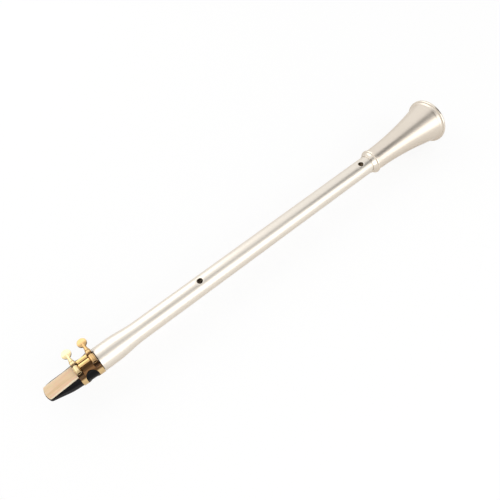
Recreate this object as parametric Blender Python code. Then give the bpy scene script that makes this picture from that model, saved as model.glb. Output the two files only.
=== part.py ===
"""Pocket saxophone: a straight plated tube with finger holes, a bell that pushes on, and a mouthpiece with its
reed and two-screw ligature. It lies along X with its reed up and its bell mouth's lowest point at Z = 0. Lengths
are in metres. Places along the instrument are measured from the tip of the mouthpiece, towards the bell."""

import math

import bmesh
import bpy
from mathutils import Matrix, Vector

MM = 0.001

# Round pieces and clearances
SIDES = 48
SMALL_SIDES = 24
CURVE_STEPS = 6
SEAT_GAP = 0.3 * MM
SOLDER_GAP = 0.1 * MM
SLIDE_GAP = 0.15 * MM
CUT_SLACK = 4 * MM

# Tube
TUBE_RADIUS = 9 * MM
TUBE_WALL = 1 * MM
TUBE_LENGTH = 336.2 * MM
SOCKET_RADIUS = 10.85 * MM
SOCKET_WALL = 1.1 * MM
SOCKET_LENGTH = 12.5 * MM
SOCKET_TAPER = 27 * MM
TAPER_STEPS = 8
THUMB_HOLE_PLACE = 106 * MM
THUMB_HOLE_WIDTH = 5.5 * MM
VENT_HOLE_FROM_BELL_END = 28.6 * MM
VENT_HOLE_WIDTH = 5.5 * MM
FINGER_HOLES = (
    (124 * MM, 6.5 * MM),
    (142 * MM, 7 * MM),
    (160 * MM, 7.5 * MM),
    (187 * MM, 7.5 * MM),
    (214 * MM, 6.5 * MM),
    (232 * MM, 7.5 * MM),
    (262 * MM, 8 * MM),
)

# Mouthpiece
BODY_LENGTH = 47.5 * MM
BODY_NOSE = 20 * MM
BODY_WAIST = 28 * MM
BODY_NOSE_RADIUS = 9.2 * MM
BODY_WAIST_RADIUS = 9.5 * MM
BODY_REAR_RADIUS = 10.25 * MM
TIP_WIDTH = 13.4 * MM
TIP_ARC_RADIUS = 14 * MM
TIP_CORNER_RADIUS = 1.6 * MM
PLAN_TAPER = math.radians(6)
TABLE_TIP_HEIGHT = 5.35 * MM
TABLE_SLOPE = math.radians(3.3)
TIP_OPENING = 1.1 * MM
FACING_LENGTH = 17 * MM
FACING_STEPS = 5
TIP_THICKNESS = 1.35 * MM
BEAK_SLOPE = math.radians(18.5)
TIP_RAIL = 1.3 * MM
SIDE_RAIL = 1.2 * MM
WINDOW_LENGTH = 28 * MM
WINDOW_END_WIDTH = 8.6 * MM
BAFFLE_LIP = 0.8 * MM
BAFFLE_SLOPE = math.radians(14)
THROAT_RADIUS = 3.7 * MM
CHAMBER_RADIUS = 5.7 * MM
MOUTHPIECE_BORE = 6.2 * MM
TENON_CLEARANCE = 0.8 * MM
TENON_LENGTH = 16 * MM
CORK_DEPTH = 0.6 * MM
CORK_FROM_SHOULDER = 2.5 * MM
CORK_LENGTH = 10.5 * MM

# Reed
REED_TIP_SETBACK = 0.5 * MM
REED_HEEL_SETBACK = 1 * MM
REED_TIP_WIDTH = 12.9 * MM
REED_HEEL_WIDTH = 11.8 * MM
REED_TIP_THICKNESS = 0.2 * MM
REED_HEEL_THICKNESS = 2.7 * MM
REED_EDGE_SHARE = 0.28
REED_VAMP = 29 * MM
REED_SECTIONS = 10
REED_CROWN_POINTS = 8

# Ligature
BAND_SETBACK = 0.1 * MM
BAND_LENGTH = 19.5 * MM
BAND_SHEET = 0.5 * MM
BAND_SLACK = 0.58 * MM
BAND_RAISE = 0.4 * MM
SLOT_WIDTH = 1 * MM
SLOT_OFFSET = 1.5 * MM
WINDOW_WIDTH = 9.9 * MM
WINDOW_TOP = 7.3 * MM
WINDOW_BOTTOM = 7.7 * MM
WINDOW_ARC_STEPS = 8
POST_RADIUS = 2.4 * MM
POST_SINK = 0.25 * MM
POST_HEAD_LENGTH = 3.6 * MM
POST_TAIL_LENGTH = 7.2 * MM
SADDLE_THICKNESS = 0.7 * MM
SADDLE_REACH = 2 * MM
RAIL_WIDTH = 2.9 * MM
RAIL_HEIGHT = 1 * MM
SCREW_SHANK_RADIUS = 1.3 * MM
SCREW_TAIL_INSET = 0.7 * MM
SCREW_SHOULDER_RADIUS = 2.2 * MM
SCREW_SHOULDER_WIDTH = 0.6 * MM
SCREW_NECK_RADIUS = 1.45 * MM
SCREW_NECK_LENGTH = 4 * MM
SCREW_HEAD_RADIUS = 4.1 * MM
SCREW_HEAD_THICKNESS = 1.6 * MM
SCREW_HEAD_CHAMFER = 0.25 * MM

# Bell
FERRULE_GRIP = 18 * MM
FERRULE_LIP = 0.45 * MM
FERRULE_COVE = 4.6 * MM
FERRULE_BEAD_RADIUS = 12.5 * MM
FERRULE_BEAD_WIDTH = 2.4 * MM
FERRULE_BEAD_ROUND = 0.9 * MM
FERRULE_SLEEVE = 1.2 * MM
FERRULE_STOP = 3 * MM
BELL_LENGTH = 85.8 * MM
BELL_WALL = 0.9 * MM
BELL_GROWTH = 1.9
BELL_FLARE_RADIUS = 20.5 * MM
BELL_STEPS = 12
COVE_LENGTH = 3.4 * MM
COVE_TOP_RADIUS = 22.7 * MM
RIM_RADIUS = 23.5 * MM
RIM_WIDTH = 2.4 * MM
RIM_ROUND = 1 * MM
RIM_WALL = 1.5 * MM

# Sizes that follow from those above
SOCKET_MOUTH = BODY_LENGTH + SEAT_GAP
SOCKET_BORE = SOCKET_RADIUS - SOCKET_WALL
SOCKET_DEPTH = TENON_LENGTH + SEAT_GAP
TUBE_BORE = TUBE_RADIUS - TUBE_WALL
TUBE_END = SOCKET_MOUTH + TUBE_LENGTH
TENON_RADIUS = SOCKET_BORE - TENON_CLEARANCE
CORK_GROOVE = TENON_RADIUS - CORK_DEPTH
CORK_RADIUS = SOCKET_BORE - SLIDE_GAP
REED_LENGTH = BODY_LENGTH - REED_TIP_SETBACK - REED_HEEL_SETBACK
BAND_REAR = BODY_LENGTH - BAND_SETBACK
BAND_FRONT = BAND_REAR - BAND_LENGTH
SLOT_HEAD_SIDE = SLOT_OFFSET + SLOT_WIDTH / 2
SLOT_TAIL_SIDE = SLOT_OFFSET - SLOT_WIDTH / 2
FERRULE_MOUTH = TUBE_END - FERRULE_GRIP
FERRULE_BORE = TUBE_RADIUS + SLIDE_GAP
FERRULE_SLEEVE_RADIUS = FERRULE_BORE + FERRULE_SLEEVE
BELL_ROOT_RADIUS = FERRULE_SLEEVE_RADIUS + SOLDER_GAP + BELL_WALL
BELL_ROOT = FERRULE_MOUTH + FERRULE_COVE + FERRULE_BEAD_WIDTH + SEAT_GAP
TOTAL_LENGTH = BELL_ROOT + BELL_LENGTH
RIM_BACK = TOTAL_LENGTH - RIM_WIDTH
COVE_END = RIM_BACK - SEAT_GAP
COVE_START = COVE_END - COVE_LENGTH
BELL_LIP_RADIUS = RIM_RADIUS - RIM_WALL - SOLDER_GAP


def table_height(place):
    """The height of the flat that carries the reed, above the bore's axis."""
    return TABLE_TIP_HEIGHT + place * math.tan(TABLE_SLOPE)


def body_radius(place):
    """The mouthpiece's outer radius behind its waist, widening evenly towards its shoulder."""
    share = (place - BODY_WAIST) / (BODY_LENGTH - BODY_WAIST)
    return BODY_WAIST_RADIUS + share * (BODY_REAR_RADIUS - BODY_WAIST_RADIUS)


def band_radius(place):
    """The ligature band's outer radius."""
    return body_radius(place) + BAND_SLACK + BAND_SHEET


def screw_height(place):
    """The height of a thumb screw's axis where its posts stand on the top of the band."""
    return BAND_RAISE + band_radius(place) + POST_RADIUS - POST_SINK


def eased(share):
    """1 at the start of a taper and 0 at its end, level at both."""
    return (1 + math.cos(math.pi * share)) / 2


def finish(name, colour, metallic, roughness):
    """A plain material of that colour and gloss."""
    material = bpy.data.materials.new(name)
    material.use_nodes = True
    shader = material.node_tree.nodes["Principled BSDF"]
    shader.inputs["Base Color"].default_value = (*colour, 1)
    shader.inputs["Metallic"].default_value = metallic
    shader.inputs["Roughness"].default_value = roughness
    material.diffuse_color = (*colour, 1)
    return material


def empty(name, parent, place=(0, 0, 0), tilt=0.0):
    """A frame for other pieces, turned about Y by tilt."""
    made = bpy.data.objects.new(name, None)
    made.empty_display_size = 0.01
    made.location = place
    made.rotation_euler = (0, tilt, 0)
    made.parent = parent
    bpy.context.scene.collection.objects.link(made)
    return made


def piece(name, shape, parent, material=None, place=(0, 0, 0)):
    """An object from a bmesh. One without a material is a cutter, which isn't part of the instrument."""
    bmesh.ops.recalc_face_normals(shape, faces=shape.faces)
    mesh = bpy.data.meshes.new(name)
    shape.to_mesh(mesh)
    shape.free()
    made = bpy.data.objects.new(name, mesh)
    made.location = place
    made.parent = parent
    bpy.context.scene.collection.objects.link(made)
    if material is None:
        made.hide_render = True
        made.display_type = "WIRE"
    else:
        mesh.materials.append(material)
        mesh.shade_smooth()
        mesh.set_sharp_from_angle(angle=math.radians(30))
    return made


def apply_tool(target, tool, operation):
    """Cuts target with tool, joins it or keeps what both share."""
    modifier = target.modifiers.new(f"{operation.lower()}_{tool.name}", "BOOLEAN")
    modifier.operation = operation
    modifier.solver = "EXACT"
    modifier.object = tool


def turned(outline, sides=SIDES, raised=0.0):
    """A closed outline of (place, radius) points spun round a line along X at the height raised. Radius 0 closes it."""
    shape = bmesh.new()
    corners = [shape.verts.new((place, 0, radius)) for place, radius in outline]
    edges = [shape.edges.new((a, b)) for a, b in zip(corners, corners[1:] + corners[:1])]
    bmesh.ops.spin(
        shape,
        geom=corners + edges,
        cent=(0, 0, 0),
        axis=(1, 0, 0),
        angle=2 * math.pi,
        steps=sides,
        use_merge=True,
    )
    bmesh.ops.remove_doubles(shape, verts=shape.verts, dist=1e-7)
    bmesh.ops.dissolve_degenerate(shape, edges=shape.edges, dist=1e-8)
    loose = [edge for edge in shape.edges if not edge.link_faces]
    bmesh.ops.delete(shape, geom=loose, context="EDGES")
    bmesh.ops.translate(shape, verts=shape.verts, vec=(0, 0, raised))
    return shape


def prism(points, across, low, high):
    """A flat outline pushed from low to high. across is Y for an (x, z) outline and Z for an (x, y) one."""
    shape = bmesh.new()
    if across == "Y":
        corners = [shape.verts.new((x, low, z)) for x, z in points]
        push = Vector((0, high - low, 0))
    else:
        corners = [shape.verts.new((x, y, low)) for x, y in points]
        push = Vector((0, 0, high - low))
    face = shape.faces.new(corners)
    grown = bmesh.ops.extrude_face_region(shape, geom=[face])
    moved = [part for part in grown["geom"] if isinstance(part, bmesh.types.BMVert)]
    bmesh.ops.translate(shape, verts=moved, vec=push)
    return shape


def rod(radius, low, high, axis, sides=SMALL_SIDES):
    """A cylinder from low to high along Y or Z."""
    shape = bmesh.new()
    bmesh.ops.create_cone(
        shape,
        cap_ends=True,
        segments=sides,
        radius1=radius,
        radius2=radius,
        depth=high - low,
    )
    bmesh.ops.translate(shape, verts=shape.verts, vec=(0, 0, (low + high) / 2))
    if axis == "Y":
        bmesh.ops.rotate(shape, verts=shape.verts, matrix=Matrix.Rotation(-math.pi / 2, 3, "X"))
    return shape


def block(low, high):
    """A box between two opposite corners."""
    shape = bmesh.new()
    bmesh.ops.create_cube(shape, size=1)
    size = Vector(high) - Vector(low)
    bmesh.ops.scale(shape, verts=shape.verts, vec=size)
    bmesh.ops.translate(shape, verts=shape.verts, vec=(Vector(high) + Vector(low)) / 2)
    return shape


def rounded_corner(place, radius, reach, start_angle):
    """Points of a quarter round: (place, radius) is its centre, and it turns clockwise from start_angle."""
    angles = [start_angle - math.pi / 2 * step / CURVE_STEPS for step in range(CURVE_STEPS + 1)]
    return [(place + reach * math.cos(angle), radius + reach * math.sin(angle)) for angle in angles]


def cove(start, end, low, high):
    """Points of a hollow quarter curve that leaves level from (start, low) and turns out to (end, high)."""
    points = []
    for step in range(1, CURVE_STEPS + 1):
        angle = math.pi / 2 * step / CURVE_STEPS
        place = start + (end - start) * math.sin(angle)
        points.append((place, low + (high - low) * (1 - math.cos(angle))))
    return points


def tube_outline():
    """Outside from the socket to the bell end, then the bore back again."""
    outside = [(SOCKET_MOUTH, SOCKET_RADIUS)]
    for step in range(TAPER_STEPS + 1):
        share = step / TAPER_STEPS
        radius = TUBE_RADIUS + (SOCKET_RADIUS - TUBE_RADIUS) * eased(share)
        outside.append((SOCKET_MOUTH + SOCKET_LENGTH + share * SOCKET_TAPER, radius))
    outside.append((TUBE_END, TUBE_RADIUS))
    inside = [(TUBE_END, TUBE_BORE)]
    bore_taper = SOCKET_LENGTH + SOCKET_TAPER - SOCKET_DEPTH - 2 * TUBE_WALL
    for step in range(TAPER_STEPS, -1, -1):
        share = step / TAPER_STEPS
        radius = TUBE_BORE + (SOCKET_BORE - TUBE_BORE) * eased(share)
        inside.append((SOCKET_MOUTH + SOCKET_DEPTH + share * bore_taper, radius))
    inside.append((SOCKET_MOUTH, SOCKET_BORE))
    return outside + inside


def drill_hole(tube, frame, name, place, width, side):
    """Drills one wall of the tube: side is 1 for the reed's side and -1 for the other."""
    near, far = sorted((side * TUBE_BORE / 2, side * (TUBE_RADIUS + CUT_SLACK)))
    drill = rod(width / 2, near, far, "Z")
    apply_tool(tube, piece(f"cut_{name}", drill, frame, place=(place, 0, 0)), "DIFFERENCE")


def make_tube(frame, material):
    """The body tube, its mouth end swelled into a socket, with the holes drilled through one wall each."""
    tube = piece("body_tube", turned(tube_outline()), frame, material)
    drill_hole(tube, frame, "thumb_hole", SOCKET_MOUTH + THUMB_HOLE_PLACE, THUMB_HOLE_WIDTH, 1)
    drill_hole(tube, frame, "vent_hole", TUBE_END - VENT_HOLE_FROM_BELL_END, VENT_HOLE_WIDTH, 1)
    for count, (place, width) in enumerate(FINGER_HOLES, 1):
        drill_hole(tube, frame, f"finger_hole_{count}", SOCKET_MOUTH + place, width, -1)


def body_outline():
    """The mouthpiece blank on the lathe: nose, body, shoulder and tenon with its cork groove."""
    cork_start = BODY_LENGTH + CORK_FROM_SHOULDER
    cork_end = cork_start + CORK_LENGTH
    end = BODY_LENGTH + TENON_LENGTH
    return [
        (-CUT_SLACK, 0),
        (-CUT_SLACK, BODY_NOSE_RADIUS),
        (BODY_NOSE, BODY_NOSE_RADIUS),
        (BODY_WAIST, BODY_WAIST_RADIUS),
        (BODY_LENGTH, BODY_REAR_RADIUS),
        (BODY_LENGTH, TENON_RADIUS),
        (cork_start, TENON_RADIUS),
        (cork_start, CORK_GROOVE),
        (cork_end, CORK_GROOVE),
        (cork_end, TENON_RADIUS),
        (end, TENON_RADIUS),
        (end, 0),
    ]


def beak_side():
    """The mouthpiece seen from the side: the slanting beak below, the table and its facing curve above."""
    high = 2 * BODY_REAR_RADIUS
    far = BODY_LENGTH + TENON_LENGTH + CUT_SLACK
    tip_bottom = TABLE_TIP_HEIGHT - TIP_OPENING - TIP_THICKNESS
    far_bottom = tip_bottom - far * math.tan(BEAK_SLOPE)
    points = [(0, tip_bottom), (far, far_bottom), (far, high), (BODY_LENGTH, high)]
    points.append((BODY_LENGTH, table_height(BODY_LENGTH)))
    for step in range(FACING_STEPS, -1, -1):
        share = step / FACING_STEPS
        place = share * FACING_LENGTH
        points.append((place, table_height(place) - TIP_OPENING * (1 - share) ** 2))
    return points


def rounded_tip(half_width, place):
    """Half of a tip seen from the reed, from its middle to its side: a wide arc, then a small round corner."""
    side = half_width - TIP_CORNER_RADIUS
    reach = TIP_ARC_RADIUS - TIP_CORNER_RADIUS
    corner = TIP_ARC_RADIUS - math.sqrt(reach**2 - side**2)
    turn = math.asin(side / reach)
    points = []
    for step in range(CURVE_STEPS):
        angle = turn * step / CURVE_STEPS
        points.append((place + TIP_ARC_RADIUS * (1 - math.cos(angle)), TIP_ARC_RADIUS * math.sin(angle)))
    for step in range(CURVE_STEPS):
        angle = turn + (math.pi / 2 - turn) * step / (CURVE_STEPS - 1)
        across = side + TIP_CORNER_RADIUS * math.sin(angle)
        points.append((place + corner - TIP_CORNER_RADIUS * math.cos(angle), across))
    return points


def tongue(half_width, place, corners):
    """An outline with a rounded tip at place. corners are the (place, half width) points behind it."""
    half = rounded_tip(half_width, place) + corners
    return half + [(x, -y) for x, y in reversed(half[1:])]


def make_mouthpiece(frame, material):
    """A turned blank cut to a beak, then bored and opened under the reed."""
    body = piece("mouthpiece", turned(body_outline()), frame, material)
    wide = 2 * BODY_REAR_RADIUS
    far = BODY_LENGTH + TENON_LENGTH + CUT_SLACK
    side = piece("cut_beak_side", prism(beak_side(), "Y", -wide, wide), frame)
    plan_end = (far, TIP_WIDTH / 2 + far * math.tan(PLAN_TAPER))
    plan_points = tongue(TIP_WIDTH / 2, 0, [plan_end])
    plan = piece("cut_beak_plan", prism(plan_points, "Z", -2 * wide, 2 * wide), frame)
    apply_tool(body, side, "INTERSECT")
    apply_tool(body, plan, "INTERSECT")
    opening_points = tongue(TIP_WIDTH / 2 - SIDE_RAIL, TIP_RAIL, [(WINDOW_LENGTH, WINDOW_END_WIDTH / 2)])
    opening = piece("cut_window_plan", prism(opening_points, "Z", -wide, wide), frame)
    floor_start = TABLE_TIP_HEIGHT - TIP_OPENING - BAFFLE_LIP
    floor_far = WINDOW_LENGTH + CUT_SLACK
    floor_end = floor_start - floor_far * math.tan(BAFFLE_SLOPE)
    floor_points = [(0, floor_start), (floor_far, floor_end), (floor_far, wide), (0, wide)]
    baffle = piece("cut_baffle", prism(floor_points, "Y", -wide, wide), frame)
    apply_tool(opening, baffle, "INTERSECT")
    apply_tool(body, opening, "DIFFERENCE")
    bore_start = WINDOW_LENGTH - CUT_SLACK
    bore_points = [
        (bore_start, 0),
        (bore_start, THROAT_RADIUS),
        (BODY_LENGTH, CHAMBER_RADIUS),
        (far, MOUTHPIECE_BORE),
        (far, 0),
    ]
    bore = piece("cut_mouthpiece_bore", turned(bore_points, SMALL_SIDES), frame)
    apply_tool(body, bore, "DIFFERENCE")


def make_cork(frame, material):
    """The cork sleeve glued into the tenon's groove."""
    start = BODY_LENGTH + CORK_FROM_SHOULDER + SOLDER_GAP
    end = BODY_LENGTH + CORK_FROM_SHOULDER + CORK_LENGTH - SOLDER_GAP
    inner = CORK_GROOVE + SOLDER_GAP
    outline = [(start, inner), (start, CORK_RADIUS), (end, CORK_RADIUS), (end, inner)]
    piece("tenon_cork", turned(outline), frame, material)


def reed_section(place):
    """Half width, thickness in the middle and thickness at the edge, at a place along the reed."""
    half = (REED_TIP_WIDTH + (REED_HEEL_WIDTH - REED_TIP_WIDTH) * place / REED_LENGTH) / 2
    share = min(place / REED_VAMP, 1)
    middle = REED_TIP_THICKNESS + (REED_HEEL_THICKNESS - REED_TIP_THICKNESS) * share
    edge = REED_TIP_THICKNESS + (middle - REED_TIP_THICKNESS) * REED_EDGE_SHARE
    return half, middle, edge


def make_reed(frame, material):
    """The reed in the table's own frame: flat below, crowned above, thinning to its arched tip."""
    shape = bmesh.new()
    rings = []
    places = [REED_VAMP * step / REED_SECTIONS for step in range(REED_SECTIONS + 1)] + [REED_LENGTH]
    for place in places:
        half, middle, edge = reed_section(place)
        points = [(place, -half, 0), (place, half, 0)]
        for step in range(REED_CROWN_POINTS + 1):
            across = 1 - 2 * step / REED_CROWN_POINTS
            points.append((place, half * across, edge + (middle - edge) * (1 - across**2)))
        rings.append([shape.verts.new(point) for point in points])
    for first, second in zip(rings, rings[1:]):
        for index in range(len(first)):
            after = (index + 1) % len(first)
            shape.faces.new((first[index], first[after], second[after], second[index]))
    shape.faces.new(rings[0])
    shape.faces.new(rings[-1])
    reed = piece("reed", shape, frame, material)
    plan_end = (REED_LENGTH + CUT_SLACK, REED_TIP_WIDTH / 2)
    plan_points = tongue(REED_TIP_WIDTH / 2, 0, [plan_end])
    plan = piece("cut_reed_plan", prism(plan_points, "Z", -REED_TIP_WIDTH, REED_TIP_WIDTH), frame)
    apply_tool(reed, plan, "INTERSECT")


def stadium(middle, half_width, low, high):
    """An upright slot with round ends in an (x, z) plane."""
    points = []
    for step in range(WINDOW_ARC_STEPS + 1):
        angle = math.pi * step / WINDOW_ARC_STEPS
        height = high - half_width + half_width * math.sin(angle)
        points.append((middle + half_width * math.cos(angle), height))
    for step in range(WINDOW_ARC_STEPS + 1):
        angle = math.pi * (1 + step / WINDOW_ARC_STEPS)
        height = low + half_width + half_width * math.sin(angle)
        points.append((middle + half_width * math.cos(angle), height))
    return points


def make_band(frame, material):
    """The sheet band: a slightly conical sleeve, slit over the reed, with a window through each side."""
    outline = [
        (BAND_FRONT, band_radius(BAND_FRONT) - BAND_SHEET),
        (BAND_FRONT, band_radius(BAND_FRONT)),
        (BAND_REAR, band_radius(BAND_REAR)),
        (BAND_REAR, band_radius(BAND_REAR) - BAND_SHEET),
    ]
    band = piece("ligature_band", turned(outline, raised=BAND_RAISE), frame, material)
    wide = 2 * band_radius(BAND_REAR)
    slot = block(
        (BAND_FRONT - CUT_SLACK, SLOT_TAIL_SIDE, 0),
        (BAND_REAR + CUT_SLACK, SLOT_HEAD_SIDE, wide),
    )
    apply_tool(band, piece("cut_band_slot", slot, frame), "DIFFERENCE")
    window = stadium((BAND_FRONT + BAND_REAR) / 2, WINDOW_WIDTH / 2, -WINDOW_BOTTOM, WINDOW_TOP)
    apply_tool(band, piece("cut_band_windows", prism(window, "Y", -wide, wide), frame), "DIFFERENCE")


def band_core(name, frame, clearance):
    """A solid larger than the band by clearance, which shapes what sits on the band."""
    start, end = BAND_FRONT - CUT_SLACK, BAND_REAR + CUT_SLACK
    outline = [
        (start, 0),
        (start, band_radius(start) + clearance),
        (end, band_radius(end) + clearance),
        (end, 0),
    ]
    return piece(name, turned(outline, raised=BAND_RAISE), frame)


def screw_places():
    """Where the two thumb screws cross the reed: each post is flush with its end of the band."""
    return (("front", BAND_FRONT + POST_RADIUS), ("rear", BAND_REAR - POST_RADIUS))


def make_post(name, frame, material, place, low, high, reach_low, reach_high, cores):
    """A drilled barrel on a curved saddle, which reaches further down the band than the barrel."""
    inside, outside = cores
    post = piece(name, rod(POST_RADIUS, low, high, "Y"), frame, material, (place, 0, screw_height(place)))
    saddle_shape = block(
        (place - POST_RADIUS, reach_low, 0),
        (place + POST_RADIUS, reach_high, screw_height(place)),
    )
    saddle = piece(f"join_{name}_saddle", saddle_shape, frame)
    apply_tool(saddle, outside, "INTERSECT")
    apply_tool(post, saddle, "UNION")
    apply_tool(post, inside, "DIFFERENCE")
    drill = rod(SCREW_SHANK_RADIUS + SLIDE_GAP, low - CUT_SLACK, high + CUT_SLACK, "Y")
    apply_tool(post, piece(f"cut_{name}_hole", drill, frame, place=post.location), "DIFFERENCE")


def make_rail(name, frame, material, side, near, core):
    """A flat strip soldered along the slot, between the saddles."""
    start = BAND_FRONT + 2 * POST_RADIUS + SEAT_GAP
    end = BAND_REAR - 2 * POST_RADIUS - SEAT_GAP
    low, high = sorted((near, near + side * RAIL_WIDTH))
    top = BAND_RAISE + band_radius(end) + RAIL_HEIGHT
    rail = piece(name, block((start, low, 0), (end, high, top)), frame, material)
    apply_tool(rail, core, "DIFFERENCE")


def screw_outline():
    """The thumb screw on the lathe: shank, shoulder and a waisted neck that runs into the head."""
    shank_end = SLOT_TAIL_SIDE - POST_TAIL_LENGTH + SCREW_TAIL_INSET
    shoulder = SLOT_HEAD_SIDE + POST_HEAD_LENGTH + SEAT_GAP
    neck = shoulder + SCREW_SHOULDER_WIDTH
    points = [
        (shank_end, 0),
        (shank_end, SCREW_SHANK_RADIUS),
        (shoulder, SCREW_SHANK_RADIUS),
        (shoulder, SCREW_SHOULDER_RADIUS),
    ]
    for step in range(CURVE_STEPS + 1):
        share = step / CURVE_STEPS
        narrowing = (SCREW_SHOULDER_RADIUS - SCREW_NECK_RADIUS) * (1 - share) ** 2
        points.append((neck + SCREW_NECK_LENGTH * share, SCREW_NECK_RADIUS + narrowing))
    neck_end = neck + SCREW_NECK_LENGTH + SCREW_HEAD_RADIUS / 2
    return [*points, (neck_end, SCREW_HEAD_THICKNESS / 2 - SCREW_HEAD_CHAMFER), (neck_end, 0)]


def coin(radius, thickness, chamfer):
    """A flat round disc across Z with chamfered edges."""
    half = thickness / 2
    outline = [
        (-half, 0),
        (-half, radius - chamfer),
        (chamfer - half, radius),
        (half - chamfer, radius),
        (half, radius - chamfer),
        (half, 0),
    ]
    shape = turned(outline)
    bmesh.ops.rotate(shape, verts=shape.verts, matrix=Matrix.Rotation(math.pi / 2, 3, "Y"))
    return shape


def make_screw(name, frame, material, place):
    """A thumb screw with a flat round head, its origin on its own axis."""
    shape = turned(screw_outline(), SMALL_SIDES)
    bmesh.ops.rotate(shape, verts=shape.verts, matrix=Matrix.Rotation(math.pi / 2, 3, "Z"))
    screw = piece(name, shape, frame, material, (place, 0, screw_height(place)))
    shoulder = SLOT_HEAD_SIDE + POST_HEAD_LENGTH + SEAT_GAP
    reach = shoulder + SCREW_SHOULDER_WIDTH + SCREW_NECK_LENGTH + SCREW_HEAD_RADIUS
    head = coin(SCREW_HEAD_RADIUS, SCREW_HEAD_THICKNESS, SCREW_HEAD_CHAMFER)
    joined = piece(f"join_{name}_head", head, frame, place=(place, reach, screw_height(place)))
    apply_tool(screw, joined, "UNION")


def make_ligature(frame, material):
    """The band with its rails, and at each end a pair of posts with a thumb screw through them."""
    make_band(frame, material)
    inside = band_core("cut_band_core", frame, SOLDER_GAP)
    outside = band_core("cut_saddle_top", frame, SOLDER_GAP + SADDLE_THICKNESS)
    for end, place in screw_places():
        head_end = SLOT_HEAD_SIDE + POST_HEAD_LENGTH
        tail_end = SLOT_TAIL_SIDE - POST_TAIL_LENGTH
        head_side = (SLOT_HEAD_SIDE, head_end, SLOT_HEAD_SIDE, head_end + SADDLE_REACH)
        tail_side = (tail_end, SLOT_TAIL_SIDE, tail_end - SADDLE_REACH, SLOT_TAIL_SIDE)
        make_post(f"{end}_head_post", frame, material, place, *head_side, (inside, outside))
        make_post(f"{end}_tail_post", frame, material, place, *tail_side, (inside, outside))
        make_screw(f"{end}_thumb_screw", frame, material, place)
    make_rail("head_side_rail", frame, material, 1, SLOT_HEAD_SIDE, inside)
    make_rail("tail_side_rail", frame, material, -1, SLOT_TAIL_SIDE, inside)


def ferrule_outline():
    """The turned collar that grips the tube: a cove up to its bead, then the sleeve inside the bell."""
    lip = FERRULE_BORE + FERRULE_LIP
    bead_start = FERRULE_MOUTH + FERRULE_COVE
    bead_end = bead_start + FERRULE_BEAD_WIDTH
    bead_side = FERRULE_BEAD_RADIUS - FERRULE_BEAD_ROUND
    stop = TUBE_END + SEAT_GAP
    end = stop + FERRULE_STOP
    return [
        (FERRULE_MOUTH, FERRULE_BORE),
        (FERRULE_MOUTH, lip),
        *cove(FERRULE_MOUTH, bead_start, lip, bead_side)[:-1],
        *rounded_corner(bead_start + FERRULE_BEAD_ROUND, bead_side, FERRULE_BEAD_ROUND, math.pi),
        *rounded_corner(bead_end - FERRULE_BEAD_ROUND, bead_side, FERRULE_BEAD_ROUND, math.pi / 2),
        (bead_end, FERRULE_SLEEVE_RADIUS),
        (end, FERRULE_SLEEVE_RADIUS),
        (end, TUBE_BORE),
        (stop, TUBE_BORE),
        (stop, FERRULE_BORE),
    ]


def bell_radius(place):
    """The bell's outer radius up to the cove at its mouth."""
    share = (place - BELL_ROOT) / (COVE_START - BELL_ROOT)
    return BELL_ROOT_RADIUS + (BELL_FLARE_RADIUS - BELL_ROOT_RADIUS) * share**BELL_GROWTH


def bell_outline():
    """Outside from the root through the flare and its cove to the lip inside the rim, then back along the inside."""
    places = [BELL_ROOT + (COVE_START - BELL_ROOT) * step / BELL_STEPS for step in range(BELL_STEPS + 1)]
    outside = [(place, bell_radius(place)) for place in places]
    outside += cove(COVE_START, COVE_END, BELL_FLARE_RADIUS, COVE_TOP_RADIUS)
    mouth = TOTAL_LENGTH - SOLDER_GAP
    outside += [(COVE_END, BELL_LIP_RADIUS), (mouth, BELL_LIP_RADIUS)]
    inside = [(mouth, BELL_LIP_RADIUS - BELL_WALL)]
    inside += [(place, bell_radius(place) - BELL_WALL) for place in reversed(places)]
    return outside + inside


def rim_outline():
    """The ring round the bell's mouth, with rounded outer edges and a flat end face."""
    inner = BELL_LIP_RADIUS + SOLDER_GAP
    side = RIM_RADIUS - RIM_ROUND
    return [
        (TOTAL_LENGTH, inner),
        (RIM_BACK, inner),
        *rounded_corner(RIM_BACK + RIM_ROUND, side, RIM_ROUND, math.pi),
        *rounded_corner(TOTAL_LENGTH - RIM_ROUND, side, RIM_ROUND, math.pi / 2),
    ]


def main():
    for made in list(bpy.data.objects):
        bpy.data.objects.remove(made)
    satin = finish("satin_nickel", (0.80, 0.77, 0.72), 1.0, 0.28)
    plated = finish("plated_rim", (0.84, 0.81, 0.76), 1.0, 0.2)
    gold = finish("gold_lacquer", (0.83, 0.58, 0.25), 1.0, 0.15)
    black = finish("black_hard_rubber", (0.012, 0.012, 0.014), 0.0, 0.2)
    cane = finish("cane", (0.80, 0.61, 0.40), 0.0, 0.55)
    cork = finish("cork", (0.55, 0.36, 0.20), 0.0, 0.85)

    bore_axis = empty("bore_axis", None, (-TOTAL_LENGTH / 2, 0, RIM_RADIUS))
    make_tube(bore_axis, satin)

    mouthpiece_axis = empty("mouthpiece_axis", bore_axis)
    make_mouthpiece(mouthpiece_axis, black)
    make_cork(mouthpiece_axis, cork)
    rise = table_height(REED_TIP_SETBACK) + SOLDER_GAP / math.cos(TABLE_SLOPE)
    reed_table = empty("reed_table", mouthpiece_axis, (REED_TIP_SETBACK, 0, rise), -TABLE_SLOPE)
    make_reed(reed_table, cane)
    make_ligature(empty("ligature_axis", mouthpiece_axis), gold)

    bell_axis = empty("bell_axis", bore_axis)
    piece("bell_ferrule", turned(ferrule_outline()), bell_axis, plated)
    piece("bell", turned(bell_outline()), bell_axis, satin)
    piece("bell_rim_ring", turned(rim_outline()), bell_axis, plated)


main()
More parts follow.
